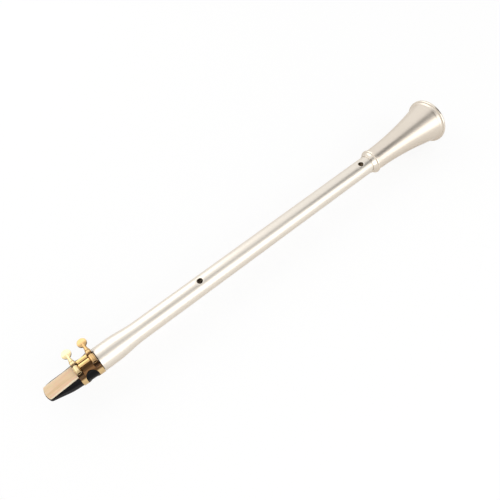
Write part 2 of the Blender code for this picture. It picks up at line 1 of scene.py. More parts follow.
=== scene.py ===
# %% [markdown]
# # A pocket saxophone
# This lesson dresses a small straight saxophone: a plated tube with a bell pushed on one end, and a black
# mouthpiece with its reed and its brass ligature in the other. The solid model already says where
# everything sits. Here each piece gets a finer shape and a finish that behaves like the real one.
#
# The first cell loads the solid model as a fixed frame and keeps its size.

# %% Load the frame
import math

import bmesh
import bpy
from mathutils import Matrix, Vector


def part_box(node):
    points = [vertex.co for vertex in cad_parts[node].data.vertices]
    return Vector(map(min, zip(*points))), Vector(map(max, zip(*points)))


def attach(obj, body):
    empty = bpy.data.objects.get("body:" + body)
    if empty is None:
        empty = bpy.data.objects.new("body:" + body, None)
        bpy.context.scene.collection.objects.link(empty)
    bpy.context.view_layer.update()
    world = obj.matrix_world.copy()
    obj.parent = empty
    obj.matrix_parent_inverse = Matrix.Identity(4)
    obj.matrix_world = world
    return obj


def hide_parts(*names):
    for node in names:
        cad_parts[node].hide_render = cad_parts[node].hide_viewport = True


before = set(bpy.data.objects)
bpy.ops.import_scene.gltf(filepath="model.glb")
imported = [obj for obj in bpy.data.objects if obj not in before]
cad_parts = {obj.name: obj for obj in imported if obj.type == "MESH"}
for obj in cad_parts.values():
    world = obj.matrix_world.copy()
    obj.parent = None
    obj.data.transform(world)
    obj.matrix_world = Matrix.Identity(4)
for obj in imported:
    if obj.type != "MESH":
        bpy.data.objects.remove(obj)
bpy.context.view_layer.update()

# %% [markdown]
# A maker's drawing counts millimetres from one end, so the lesson does too. Every place along the
# instrument is measured from the tip of the mouthpiece towards the bell, and every height from the axis of
# the bore. One matrix then takes a finished mesh from the drawing to the frame, where lengths are in
# metres.

# %% From the drawing to the frame
MM = 0.001
TIP_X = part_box("mouthpiece")[0].x
tube_low, tube_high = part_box("body_tube")
AXIS_Z = (tube_low.z + tube_high.z) / 2
DRAWING_TO_FRAME = Matrix.Translation((TIP_X, 0, AXIS_Z)) @ Matrix.Scale(MM, 4)
TOTAL_LENGTH = (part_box("bell_rim_ring")[1].x - TIP_X) / MM
print(f"the instrument is {TOTAL_LENGTH:.1f} mm long, its axis {AXIS_Z / MM:.1f} mm above the floor")

# %% [markdown]
# The camera comes first, because the shapes are judged through it. It hangs above the mouthpiece's end,
# beside the instrument, and looks down along it, so that the bell is further away and looks smaller. Its
# place and its three axes were worked out from the ends of the tube, its holes, its collar and the rim of
# the bell.

# %% Camera
FOCAL_LENGTH_IN_WIDTHS = 540 / 500
SENSOR_WIDTH = 36
CLIP_START, CLIP_END = 0.01, 50
CAMERA_PLACE = Vector((49.664, -206.898, 423.128))
CAMERA_RIGHT = Vector((0.764464, -0.644184, -0.023646))
CAMERA_UP = Vector((0.557548, 0.64235, 0.525799))
CAMERA_BACK = Vector((-0.323542, -0.415166, 0.850269))


def new_object(name, data):
    """An object in the scene that holds a mesh, a lamp or a camera."""
    made = bpy.data.objects.new(name, data)
    bpy.context.scene.collection.objects.link(made)
    return made


camera_data = bpy.data.cameras.new("camera")
camera_data.sensor_width = SENSOR_WIDTH
camera_data.lens = SENSOR_WIDTH * FOCAL_LENGTH_IN_WIDTHS
camera_data.clip_start, camera_data.clip_end = CLIP_START, CLIP_END
camera = new_object("camera", camera_data)
camera_turn = Matrix((CAMERA_RIGHT, CAMERA_UP, CAMERA_BACK)).transposed().to_4x4()
camera.matrix_world = Matrix.Translation(DRAWING_TO_FRAME @ CAMERA_PLACE) @ camera_turn
bpy.context.scene.camera = camera
bpy.context.scene.view_settings.view_transform = "Standard"
print("camera at", [round(value, 3) for value in camera.location])

# %% [markdown]
# A shader is a small tree of nodes, and so is a Geometry Nodes tree. A few helpers keep both short. One
# fills a socket with a value or joins it to another node's, one does so for a node's inputs by name, and
# one adds a node. The others each stand for a node that is needed often: a sum, a range, a colour ramp, a
# mix of two colours, and the coordinates of a point.

# %% Helpers for node trees
WHITE = (1, 1, 1, 1)
MIX_INPUTS, MIX_RESULT = (6, 7), 2


def plug(socket, value):
    """Sets a socket to a value, or joins it to another node's socket."""
    if isinstance(value, bpy.types.NodeSocket):
        socket.id_data.links.new(value, socket)
    else:
        socket.default_value = value


def feed(node, **inputs):
    """Sets a node's inputs by name, with an underscore for each space."""
    for name, value in inputs.items():
        plug(node.inputs[name.replace("_", " ")], value)
    return node


def add_node(tree, kind, settings=None, **inputs):
    """Adds a node. settings are its own properties, and inputs are fed to it."""
    node = tree.nodes.new(kind)
    for name, value in (settings or {}).items():
        setattr(node, name, value)
    return feed(node, **inputs)


def sum_node(tree, operation, *values):
    """One Math node, from sockets or numbers. It returns its result's socket."""
    node = add_node(tree, "ShaderNodeMath", {"operation": operation})
    for socket, value in zip(node.inputs, values):
        plug(socket, value)
    return node.outputs[0]


def between(tree, value, low, high, start=0.3, stop=0.7):
    """Maps a value that runs from start to stop to the range from low to high. It returns the socket."""
    node = add_node(
        tree, "ShaderNodeMapRange", Value=value, From_Min=start, From_Max=stop, To_Min=low, To_Max=high
    )
    return node.outputs["Result"]


def ramp_node(tree, value, *stops):
    """A Color Ramp node through (position, colour) stops. It returns the colour's socket."""
    node = add_node(tree, "ShaderNodeValToRGB", Fac=value)
    points = node.color_ramp.elements
    while len(points) < len(stops):
        points.new(0.5)
    for point, (position, colour) in zip(points, stops):
        point.position, point.color = position, (*colour, 1)
    return node.outputs["Color"]


def mixed_colour(tree, share, first, second, blend="MIX"):
    """Two colours mixed, with more of the second as the share grows. It returns the colour's socket."""
    node = add_node(tree, "ShaderNodeMix", {"data_type": "RGBA", "blend_type": blend}, Factor=share)
    for number, colour in zip(MIX_INPUTS, (first, second)):
        plug(node.inputs[number], colour)
    return node.outputs[MIX_RESULT]


def object_place(tree):
    """A point's object coordinates, as the sockets X, Y and Z."""
    where = add_node(tree, "ShaderNodeTexCoord")
    return add_node(tree, "ShaderNodeSeparateXYZ", Vector=where.outputs["Object"]).outputs


def cleared_tree(owner):
    """Turns on the nodes of a material or a world, and clears them."""
    owner.use_nodes = True
    owner.node_tree.nodes.clear()
    return owner.node_tree


def level_sheet(name, xs, ys, height, finish):
    """A level rectangle with a finish."""
    mesh = bpy.data.meshes.new(name)
    corners = [(x, ys[0], height) for x in xs] + [(x, ys[1], height) for x in reversed(xs)]
    mesh.from_pydata(corners, [], [(0, 1, 2, 3)])
    mesh.materials.append(finish)
    return new_object(name, mesh)


# %% [markdown]
# Metal shows the room more than itself, so the room is planned like a product photographer's tent. The
# world is white for the camera and for reflections, and weaker as a light, so that the lamps give the
# shapes. A pale floor carries the shadow. Reflections see it a little warmer than the camera does. For the
# camera alone it is mixed with plain white, which brightens the background without adding light to the
# object.

# %% World and floor
AMBIENT_LIGHT = 0.78
FLOOR_SEEN, FLOOR_REFLECTED = (0.97, 0.97, 0.97, 1), (0.88, 0.865, 0.845, 1)
FLOOR_WHITENING = 0.85
FLOOR_SPAN = (-6, 6)

world = bpy.data.worlds.new("studio")
bpy.context.scene.world = world
world_tree = cleared_tree(world)
rays = add_node(world_tree, "ShaderNodeLightPath").outputs
seen = sum_node(world_tree, "MAXIMUM", rays["Is Camera Ray"], rays["Is Glossy Ray"])
seen = sum_node(world_tree, "MAXIMUM", seen, rays["Is Transmission Ray"])
level = sum_node(world_tree, "MULTIPLY_ADD", seen, 1 - AMBIENT_LIGHT, AMBIENT_LIGHT)
sky = add_node(world_tree, "ShaderNodeBackground", Color=WHITE, Strength=level)
add_node(world_tree, "ShaderNodeOutputWorld", Surface=sky.outputs["Background"])

floor_finish = bpy.data.materials.new("pale_paper")
floor_tree = cleared_tree(floor_finish)
to_camera = add_node(floor_tree, "ShaderNodeLightPath").outputs["Is Camera Ray"]
paper_tone = mixed_colour(floor_tree, to_camera, FLOOR_REFLECTED, FLOOR_SEEN)
paper = add_node(floor_tree, "ShaderNodeBsdfDiffuse", Color=paper_tone)
white = add_node(floor_tree, "ShaderNodeEmission", Color=WHITE, Strength=1)
whitening = sum_node(floor_tree, "MULTIPLY", to_camera, FLOOR_WHITENING)
mixed = add_node(floor_tree, "ShaderNodeMixShader", Fac=whitening)
plug(mixed.inputs[1], paper.outputs[0])
plug(mixed.inputs[2], white.outputs[0])
add_node(floor_tree, "ShaderNodeOutputMaterial", Surface=mixed.outputs[0])
floor = level_sheet("floor", FLOOR_SPAN, FLOOR_SPAN, 0, floor_finish)
print(f"floor from {FLOOR_SPAN[0]} to {FLOOR_SPAN[1]} m, world light {AMBIENT_LIGHT}")

# %% [markdown]
# Two long soft boxes run beside the instrument. The one on the camera's side hangs nearer and lower, and the
# other is a little brighter. Their long faces draw the straight bright bands along the tube. A lit object
# between two soft boxes also needs something dark to reflect, or the metal looks like plaster: a narrow dark
# card hangs overhead, and its reflection is the thin line along the top of the tube. The card is seen by
# reflections only. Its dark stripe fades out towards both sides and is lighter over the near half of the
# tube. Over the bell, whose sides slant, it leans towards the camera and widens.

# %% Soft boxes and the dark card
SOFT_BOXES = (  # name, degrees from overhead, distance, place along the tube, width, height, power
    ("near_soft_box", 60, 0.9, 0.08, 1.45, 0.68, 2.9),
    ("far_soft_box", -50, 1.1, -0.35, 1.2, 0.9, 3.4),
)
LIGHT_COLOUR = (1, 0.985, 0.96)
CARD_HEIGHT = 0.8
CARD_ALONG, CARD_ACROSS = (-1.0, 1.6), (0.2, -0.66)
CARD_STOPS = ((0.08, 1.0), (0.0, 0.3), (-0.1, 0.06), (-0.22, 0.12), (-0.45, 1.0))  # place across, tone
FADE_START, FADE_END, FADE_MOST = 0.43, 0.59, 0.45
LEAN_START, LEAN, WIDENING = 0.5, 0.6, 3.0

for name, degrees, distance, along, width, height, power in SOFT_BOXES:
    angle = math.radians(degrees)
    towards = Vector((0, -math.sin(angle), math.cos(angle)))
    lamp = bpy.data.lights.new(name, "AREA")
    lamp.shape, lamp.size, lamp.size_y = "RECTANGLE", width, height
    lamp.energy, lamp.color = power, LIGHT_COLOUR
    holder = new_object(name, lamp)
    holder.location = Vector((along, 0, AXIS_Z)) + towards * distance
    across = Vector((1, 0, 0))
    holder.rotation_euler = Matrix((across, towards.cross(across), towards)).transposed().to_euler()
    holder.visible_camera = False

card_finish = bpy.data.materials.new("dark_card")
card_tree = cleared_tree(card_finish)
spot = object_place(card_tree)
stripe_far, stripe_near = CARD_STOPS[0][0], CARD_STOPS[-1][0]
stripe_middle = (stripe_far + stripe_near) / 2
past = sum_node(card_tree, "MAXIMUM", sum_node(card_tree, "SUBTRACT", spot["X"], LEAN_START), 0)
leaning = sum_node(card_tree, "ADD", spot["Y"], sum_node(card_tree, "MULTIPLY", past, LEAN))
from_middle = sum_node(card_tree, "SUBTRACT", leaning, stripe_middle)
wider = sum_node(card_tree, "ADD", sum_node(card_tree, "MULTIPLY", past, WIDENING), 1)
narrowed = sum_node(card_tree, "ADD", sum_node(card_tree, "DIVIDE", from_middle, wider), stripe_middle)
span = between(card_tree, narrowed, 0, 1, stripe_far, stripe_near)
stops = [((y - stripe_far) / (stripe_near - stripe_far), (tone, tone, tone)) for y, tone in CARD_STOPS]
fade = between(card_tree, spot["X"], FADE_MOST, 0.0, FADE_START, FADE_END)
card_tone = mixed_colour(card_tree, fade, ramp_node(card_tree, span, *stops), WHITE)
glow = add_node(card_tree, "ShaderNodeEmission", Color=card_tone, Strength=1)
add_node(card_tree, "ShaderNodeOutputMaterial", Surface=glow.outputs[0])
card = level_sheet("dark_card", CARD_ALONG, CARD_ACROSS, CARD_HEIGHT, card_finish)
for kind_of_ray in ("camera", "diffuse", "transmission", "volume_scatter", "shadow"):
    setattr(card, f"visible_{kind_of_ray}", False)
print(len(SOFT_BOXES), "soft boxes and one card")

# %% [markdown]
# Every finish starts from the same shader and adds what the eye expects: a slow change of tone, since
# plating and lacquer are never quite even, and a fine grain in the gloss, since polishing leaves tiny
# scratches. Both are noise textures on object coordinates. One helper makes such a noise, stretched as the
# grain runs, and another turns it into a fine bump.

# %% Finishes: shared parts
def new_finish(name, **settings):
    """A material with its Principled shader's sockets set. It returns material, tree and shader."""
    material = bpy.data.materials.new(name)
    material.use_nodes = True
    return material, material.node_tree, feed(material.node_tree.nodes["Principled BSDF"], **settings)


def stretched_noise(tree, stretch, detail=2.0, roughness=0.5):
    """Noise on object coordinates. stretch is how many waves go into a metre along X, Y and Z."""
    where = add_node(tree, "ShaderNodeTexCoord")
    scaled = add_node(tree, "ShaderNodeMapping", Vector=where.outputs["Object"], Scale=stretch)
    vector = scaled.outputs["Vector"]
    noise = add_node(tree, "ShaderNodeTexNoise", Vector=vector, Scale=1.0, Detail=detail, Roughness=roughness)
    return noise.outputs["Fac"]


def fine_bump(tree, height, strength, distance):
    """A bump from a height. Its distance is its full depth in metres. It returns the normal's socket."""
    return add_node(
        tree, "ShaderNodeBump", Height=height, Strength=strength, Distance=distance
    ).outputs["Normal"]


# %% [markdown]
# The tube and the bell are brass with a satin nickel plate: slightly warm, soft in its reflections, with a
# very fine grain round the tube from the polishing wheel. The bell's plate is given a slightly warmer and
# deeper tone. The collar and the rim are that plate too, polished brighter. One function makes all three,
# with the tone and the gloss as its choices.

# %% Nickel finishes
PLATE_WAVES, WHEEL_WAVES, RUB_WAVES = (14, 60, 60), (5200, 260, 260), (40, 180, 180)


def nickel(name, light, dark, gloss, grain):
    """A plated finish between two tones, with gloss as its range of roughness and grain as its bump."""
    material, tree, shader = new_finish(name, Metallic=1.0)
    tone = ramp_node(tree, stretched_noise(tree, PLATE_WAVES, 3.0), (0.3, dark), (0.7, light))
    wheel = stretched_noise(tree, WHEEL_WAVES, 2.0)
    rub = stretched_noise(tree, RUB_WAVES, 4.0)
    marks = sum_node(tree, "MULTIPLY", sum_node(tree, "ADD", wheel, rub), 0.5)
    normal = fine_bump(tree, wheel, grain, 0.02 * MM)
    feed(shader, Base_Color=tone, Roughness=between(tree, marks, *gloss), Normal=normal)
    return material


satin_nickel = nickel("satin_nickel", (0.86, 0.80, 0.715), (0.815, 0.755, 0.67), (0.3, 0.4), 0.12)
spun_nickel = nickel("spun_nickel", (0.80, 0.725, 0.635), (0.765, 0.69, 0.595), (0.28, 0.36), 0.12)
plated_rim = nickel("plated_rim", (0.84, 0.765, 0.67), (0.80, 0.72, 0.62), (0.14, 0.22), 0.05)

# %% [markdown]
# Inside, the tube is bare brass that has gone dull and brown. Through a hole it looks nearly black with a
# warm glow, which is what tells the eye that the tube is hollow and thin.

# %% Bare brass of the bore
bore_brass, tree, shader = new_finish("bore_brass", Metallic=0.55)
blotches = stretched_noise(tree, (90, 160, 160), 4.0)
tone = ramp_node(tree, blotches, (0.35, (0.10, 0.045, 0.018)), (0.65, (0.22, 0.11, 0.045)))
feed(shader, Base_Color=tone, Roughness=between(tree, blotches, 0.45, 0.7))

# %% [markdown]
# The ligature is polished brass under a clear gold lacquer. Polished brass is almost a mirror, so its
# shades come from what it reflects, and its own colour only has to be deep enough. The lacquer is a thin
# smooth coat on top. In places the lacquer is darkened with painted shade: a painted dark reflection on the
# band's crown, and painted shade on the posts and under the screws. Each finish takes a list of these
# zones: along Y or Z in the drawing's millimetres, with a full and a faded half-width, and an amount.

# %% Gold lacquer
# The brown of the painted shade and the painted dark reflections on the lacquer.
PAINTED_SHADE_BROWN = (0.15, 0.10, 0.07, 1)
ZONE_WANDER = 0.2 * MM
LACQUER_WAVES, HAIRLINE_WAVES = (120, 120, 120), (700, 4200, 4200)
# Painted dark reflection along the band's crown, beside the rails.
BAND_CROWN_PAINTED_REFLECTION = ("Z", 12, 5.6, 7.0, 1.0)


def gold(name, light, dark, *zones):
    """Lacquered brass. A painted shade zone is (axis, centre, full, faded, amount): shaded to full, none past
    faded.
    """
    material, tree, shader = new_finish(name, Metallic=1.0, Coat_Weight=0.2, Coat_Roughness=0.04)
    slow = stretched_noise(tree, LACQUER_WAVES, 3.0)
    tone = ramp_node(tree, slow, (0.3, dark), (0.7, light))
    spot = object_place(tree)
    # Painted shade: the tone is darkened towards each zone's centre.
    for axis, centre, full, faded, amount in zones:
        centre = centre * MM + (AXIS_Z if axis == "Z" else 0)
        away = sum_node(tree, "ABSOLUTE", sum_node(tree, "SUBTRACT", spot[axis], centre))
        wavy = sum_node(tree, "ADD", away, between(tree, slow, -ZONE_WANDER, ZONE_WANDER))
        brown = between(tree, wavy, amount, 0.0, full * MM, faded * MM)
        tone = mixed_colour(tree, brown, tone, PAINTED_SHADE_BROWN, "MULTIPLY")
    hairlines = stretched_noise(tree, HAIRLINE_WAVES, 2.0)
    normal = fine_bump(tree, hairlines, 0.05, 0.02 * MM)
    feed(shader, Base_Color=tone, Roughness=between(tree, hairlines, 0.1, 0.18), Normal=normal)
    return material


gold_lacquer = gold("gold_lacquer", (0.82, 0.58, 0.27), (0.74, 0.49, 0.20))
# The band's lacquer carries the painted dark reflection on its crown.
gold_band = gold("gold_band", (0.82, 0.60, 0.31), (0.74, 0.51, 0.24), BAND_CROWN_PAINTED_REFLECTION)

# %% [markdown]
# The mouthpiece is black hard rubber, turned and then polished by hand. It is close to black, with a soft
# gloss that is a little uneven, and faint turning lines round it.

# %% Hard rubber
hard_rubber, tree, shader = new_finish("black_hard_rubber", IOR=1.5, Specular_IOR_Level=0.07)
slow = stretched_noise(tree, (60, 90, 90), 3.0)
tone = ramp_node(tree, slow, (0.3, (0.004, 0.004, 0.0045)), (0.7, (0.008, 0.008, 0.009)))
rubbed = stretched_noise(tree, (900, 220, 220), 3.0)
normal = fine_bump(tree, rubbed, 0.06, 0.03 * MM)
feed(shader, Base_Color=tone, Roughness=between(tree, rubbed, 0.16, 0.28), Normal=normal)

# %% [markdown]
# The reed is cane, a grass, so its fibres all run lengthwise. Two noises that are stretched along the reed
# give the broad pinkish streaks and the fine dark fibres between them. The thin sides of the cut are paler,
# because light comes through them, and a curve on the distance from the middle adds that.

# %% Cane
REED_HALF_WIDTH = 6.45 * MM
PALE_FROM, PALE_MOST, PALE_CANE = 0.72, 0.65, (0.93, 0.84, 0.65, 1)
STREAKS = (
    (0.3, (0.68, 0.45, 0.25)),
    (0.45, (0.84, 0.64, 0.41)),
    (0.55, (0.80, 0.52, 0.34)),
    (0.7, (0.91, 0.77, 0.53)),
)
FIBRES = ((0.33, (0.80, 0.76, 0.70)), (0.52, (1, 1, 1)))
FIBRE_SHARE = 0.7

cane, tree, shader = new_finish("cane", IOR=1.45, Subsurface_Weight=0.08, Subsurface_Scale=2 * MM)
broad = ramp_node(tree, stretched_noise(tree, (16, 620, 40), 2.0), *STREAKS)
fibres = stretched_noise(tree, (90, 3600, 300), 3.0, 0.6)
woven = mixed_colour(tree, FIBRE_SHARE, broad, ramp_node(tree, fibres, *FIBRES), "MULTIPLY")
outwards = sum_node(tree, "ABSOLUTE", object_place(tree)["Y"])
paleness = between(tree, outwards, 0.0, PALE_MOST, PALE_FROM * REED_HALF_WIDTH, REED_HALF_WIDTH)
tone = mixed_colour(tree, paleness, woven, PALE_CANE)
normal = fine_bump(tree, fibres, 0.25, 0.05 * MM)
feed(shader, Base_Color=tone, Roughness=between(tree, fibres, 0.42, 0.62), Normal=normal)

# %% [markdown]
# Cork shows only when the mouthpiece is drawn out of its socket: brown, with small dark pores and a waxy
# shine from the grease that lets it slide.

# %% Cork
cork, tree, shader = new_finish("cork", IOR=1.45)
cells = stretched_noise(tree, (900, 900, 900), 4.0, 0.6)
tones = ((0.32, (0.16, 0.08, 0.035)), (0.45, (0.46, 0.28, 0.14)), (0.7, (0.62, 0.42, 0.24)))
tone = ramp_node(tree, cells, *tones)
normal = fine_bump(tree, cells, 0.4, 0.2 * MM)
feed(shader, Base_Color=tone, Roughness=between(tree, cells, 0.5, 0.75), Normal=normal)
print(len(bpy.data.materials), "materials so far")

# %% [markdown]
# ## Turned pieces
# Tube, collar, bell and rim are all made on a lathe or a spinning former: one outline, turned round the
# axis. A geometry tree does the same. It takes the outline as a row of points, lays a grid with one row for
# each point and one column for each step round, and moves every grid point to its outline point turned by
# its angle. The seam is closed by merging. The tree ends with the finish, so that one tree serves every
# turned piece.

# %% A geometry tree that works like a lathe
MERGE_DISTANCE = 0.0005  # in the drawing, so in millimetres


def new_tree(name, **inputs):
    """A geometry tree with named inputs, each with its kind. It returns the tree and the inputs' sockets."""
    tree = bpy.data.node_groups.new(name, "GeometryNodeTree")
    tree.is_modifier = True
    for label, kind in {"Geometry": "Geometry", **inputs}.items():
        label, kind = label.replace("_", " "), f"NodeSocket{kind}"
        tree.interface.new_socket(label, in_out="INPUT", socket_type=kind)
    tree.interface.new_socket("Geometry", in_out="OUTPUT", socket_type="NodeSocketGeometry")
    return tree, tree.nodes.new("NodeGroupInput").outputs


def end_tree(tree, given, geometry):
    """Ends a tree in Realize Instances and Set Material."""
    for kind in ("RealizeInstances", "SetShadeSmooth", "SetMaterial"):
        step = add_node(tree, f"GeometryNode{kind}", Geometry=geometry)
        geometry = step.outputs["Geometry"]
    feed(step, Material=given["Finish"])
    add_node(tree, "NodeGroupOutput", Geometry=geometry)


lathe, given = new_tree("lathe", Steps_round="Int", Finish="Material")
outline = given["Geometry"]
rows = add_node(lathe, "GeometryNodeAttributeDomainSize", Geometry=outline).outputs["Point Count"]
columns = sum_node(lathe, "ADD", given["Steps round"], 1)
grid = add_node(lathe, "GeometryNodeMeshGrid", Vertices_X=rows, Vertices_Y=columns)
number = add_node(lathe, "GeometryNodeInputIndex").outputs["Index"]
row = sum_node(lathe, "FLOOR", sum_node(lathe, "DIVIDE", number, columns))
column = sum_node(lathe, "SUBTRACT", number, sum_node(lathe, "MULTIPLY", row, columns))
turn = sum_node(lathe, "DIVIDE", sum_node(lathe, "MULTIPLY", column, math.tau), given["Steps round"])
position = add_node(lathe, "GeometryNodeInputPosition").outputs["Position"]
vector = {"data_type": "FLOAT_VECTOR"}
picked = add_node(lathe, "GeometryNodeSampleIndex", vector, Geometry=outline, Value=position, Index=row)
point = add_node(lathe, "ShaderNodeSeparateXYZ", Vector=picked.outputs["Value"]).outputs
turned_y, turned_z = (
    sum_node(lathe, "MULTIPLY", point["Z"], sum_node(lathe, wave, turn)) for wave in ("SINE", "COSINE")
)
turned = add_node(lathe, "ShaderNodeCombineXYZ", X=point["X"], Y=turned_y, Z=turned_z).outputs["Vector"]
wrapped = add_node(lathe, "GeometryNodeSetPosition", Geometry=grid.outputs["Mesh"], Position=turned)
closed = add_node(
    lathe, "GeometryNodeMergeByDistance", Geometry=wrapped.outputs["Geometry"], Distance=MERGE_DISTANCE
)
end_tree(lathe, given, closed.outputs["Geometry"])
print("lathe:", len(lathe.nodes), "nodes")

# %% [markdown]
# The next helpers run a tree or a modifier and keep its result as a plain mesh. That does the bench work:
# cutting and joining with exact Booleans, and breaking the sharp edges with a small bevel. Faces must point
# outwards, so a mesh whose volume comes out negative is turned round. A finished piece is handed over with
# its sharp edges marked, so that they stay crisp in the shading.

# %% Bench helpers
FINE_SIDES, MEDIUM_SIDES, SMALL_SIDES = 144, 96, 64
CRISP_ANGLE = math.radians(38)


def keep_result(made):
    """Replaces an object's mesh by the result of its modifiers, and removes them."""
    graph = bpy.context.evaluated_depsgraph_get()
    shown = made.evaluated_get(graph)
    mesh = bpy.data.meshes.new_from_object(shown, preserve_all_data_layers=True, depsgraph=graph)
    made.modifiers.clear()
    made.data = mesh
    return made


def run_tree(made, tree, **inputs):
    """Runs a geometry tree on an object. Inputs are given by name and set by their sockets' identifiers."""
    modifier = made.modifiers.new(tree.name, "NODES")
    modifier.node_group = tree
    for item in tree.interface.items_tree:
        key = item.name.replace(" ", "_")
        if item.in_out == "INPUT" and key in inputs:
            modifier[item.identifier] = inputs[key]
    return keep_result(made)


def run_modifier(made, kind, **settings):
    """Runs a modifier with its settings on an object."""
    modifier = made.modifiers.new(kind, kind)
    for name, value in settings.items():
        setattr(modifier, name, value)
    return keep_result(made)


def combine(made, tool, operation):
    """Cuts or joins a tool into a piece with an exact Boolean. The tool is used up."""
    run_modifier(made, "BOOLEAN", operation=operation, solver="EXACT", object=tool)
    bpy.data.objects.remove(tool)


def break_edges(made, width, segments=2):
    """Rounds the sharp edges a little, as a file and a polishing wheel do."""
    run_modifier(
        made, "BEVEL", width=width, segments=segments, limit_method="ANGLE", angle_limit=CRISP_ANGLE
    )


def face_outwards(made, recalculate=False):
    """Turns a closed mesh's faces round if its volume is negative. recalculate first makes them agree."""
    shape = bmesh.new()
    shape.from_mesh(made.data)
    if recalculate:
        bmesh.ops.recalc_face_normals(shape, faces=shape.faces)
    if shape.calc_volume(signed=True) < 0:
        bmesh.ops.reverse_faces(shape, faces=shape.faces)
    shape.to_mesh(made.data)
    shape.free()
    return made


def turn_outline(name, outline, material, sides=FINE_SIDES):
    """A closed outline of (place, radius) points, turned on the lathe."""
    profile = bpy.data.meshes.new(name)
    points = [(place, 0, radius) for place, radius in [*outline, outline[0]]]
    profile.from_pydata(points, [(i, i + 1) for i in range(len(points) - 1)], [])
    made = run_tree(new_object(name, profile), lathe, Steps_round=sides, Finish=material)
    return face_outwards(made)


def mesh_from(name, points, faces, material):
    """An object from points and faces, facing outwards."""
    mesh = bpy.data.meshes.new(name)
    mesh.from_pydata(points, [], faces)
    mesh.materials.append(material)
    return face_outwards(new_object(name, mesh), recalculate=True)


def hand_over(made, body, slot, *nodes):
    """Takes a finished piece from the drawing to the frame, and says what it rides on and stands for."""
    made.data.transform(DRAWING_TO_FRAME)
    made.data.shade_smooth()
    made.data.set_sharp_from_angle(angle=CRISP_ANGLE)
    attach(made, body)
    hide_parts(*nodes)
    print(f"{made.name}: {len(made.data.vertices)} points, rides on {body}")


# %% [markdown]
# Outlines are made of straight runs, quarter rounds, coves and tapers, the same moves that a turner makes.
# A quarter round turns about a centre, a cove is its hollow twin, and a taper runs level into what comes
# before and after. Two quarter rounds make the back of a ring whose corners are rounded.

# %% Outline helpers
def spread(start, end, count):
    """count places from start to end, both included."""
    return [start + (end - start) * step / (count - 1) for step in range(count)]


def quarter(centre, radius, start, steps=8):
    """A quarter round about a (place, radius) centre, turning clockwise from an angle in degrees."""
    angles = [math.radians(start - 90 * step / steps) for step in range(steps + 1)]
    return [(centre[0] + radius * math.cos(a), centre[1] + radius * math.sin(a)) for a in angles]


def rounded_back(start, end, radius, rounding, steps=8):
    """The outside of a ring from start to end, with both corners rounded."""
    height = radius - rounding
    first = quarter((start + rounding, height), rounding, 180, steps)
    return first + quarter((end - rounding, height), rounding, 90, steps)


def cove(start, end, low, high, steps=12):
    """A hollow quarter curve, level at (start, low) and steep at (end, high), without its first point."""
    turns = [math.pi / 2 * step / steps for step in range(1, steps + 1)]
    return [(start + (end - start) * math.sin(a), low + (high - low) * (1 - math.cos(a))) for a in turns]


def taper(start, end, wide, narrow, count):
    """Points from a wide radius at start to a narrow one at end, level at both."""
    return [
        (start + share * (end - start), narrow + (wide - narrow) * (1 + math.cos(math.pi * share)) / 2)
        for share in spread(0, 1, count)
    ]


def straight(radius, start, end, count):
    """Points at one radius."""
    return [(place, radius) for place in spread(start, end, count)]


# %% [markdown]
# ## The body tube
# The tube is one length of drawn brass. Its mouth end is swelled into a socket that takes the cork of the
# mouthpiece, and the swelling runs out gently. The outline goes along the outside and back through the
# bore.

# %% Body tube: outline
TUBE_RADIUS, TUBE_BORE = 9.0, 8.0
SOCKET_RADIUS, SOCKET_BORE = 10.85, 9.75
SOCKET_MOUTH, SOCKET_STRAIGHT_START, SOCKET_STRAIGHT_END = 47.8, 52, 60.3
SWELLING_END, TUBE_END = 87.3, 384.0
SOCKET_FLOOR, BORE_START = 64.1, 85.3
MOUTH_ROUND = 0.3
TUBE_ROWS, SWELLING_ROWS, FLOOR_ROWS = 60, 33, 17

outside = quarter((SOCKET_MOUTH + MOUTH_ROUND, SOCKET_RADIUS - MOUTH_ROUND), MOUTH_ROUND, 180, 4)
outside += straight(SOCKET_RADIUS, SOCKET_STRAIGHT_START, SOCKET_STRAIGHT_END, 3)
outside += taper(SOCKET_STRAIGHT_END, SWELLING_END, SOCKET_RADIUS, TUBE_RADIUS, SWELLING_ROWS)[1:]
outside += straight(TUBE_RADIUS, SWELLING_END, TUBE_END, TUBE_ROWS)[1:]
inside = straight(TUBE_BORE, TUBE_END, BORE_START, TUBE_ROWS)
inside += taper(SOCKET_FLOOR, BORE_START, SOCKET_BORE, TUBE_BORE, FLOOR_ROWS)[-2::-1]
inside.append((SOCKET_MOUTH, SOCKET_BORE))
tube = turn_outline("tube_shell", outside + inside, satin_nickel)
print(f"tube outline of {len(outside + inside)} points")

# %% [markdown]
# The holes are the same feature at nine places: a drilled bore whose rim is filed back a little all round,
# so that it is kind to the finger. A second tree repeats one drill. It puts a copy at each marked point,
# scaled to that hole's radius and turned to its side of the tube, makes the copies real, and then lifts
# each point by the height of the tube under it. That bends the drill's filed rim round the tube, so the
# bevel has the same width all the way round. The tree then cuts the drills out of the tube.

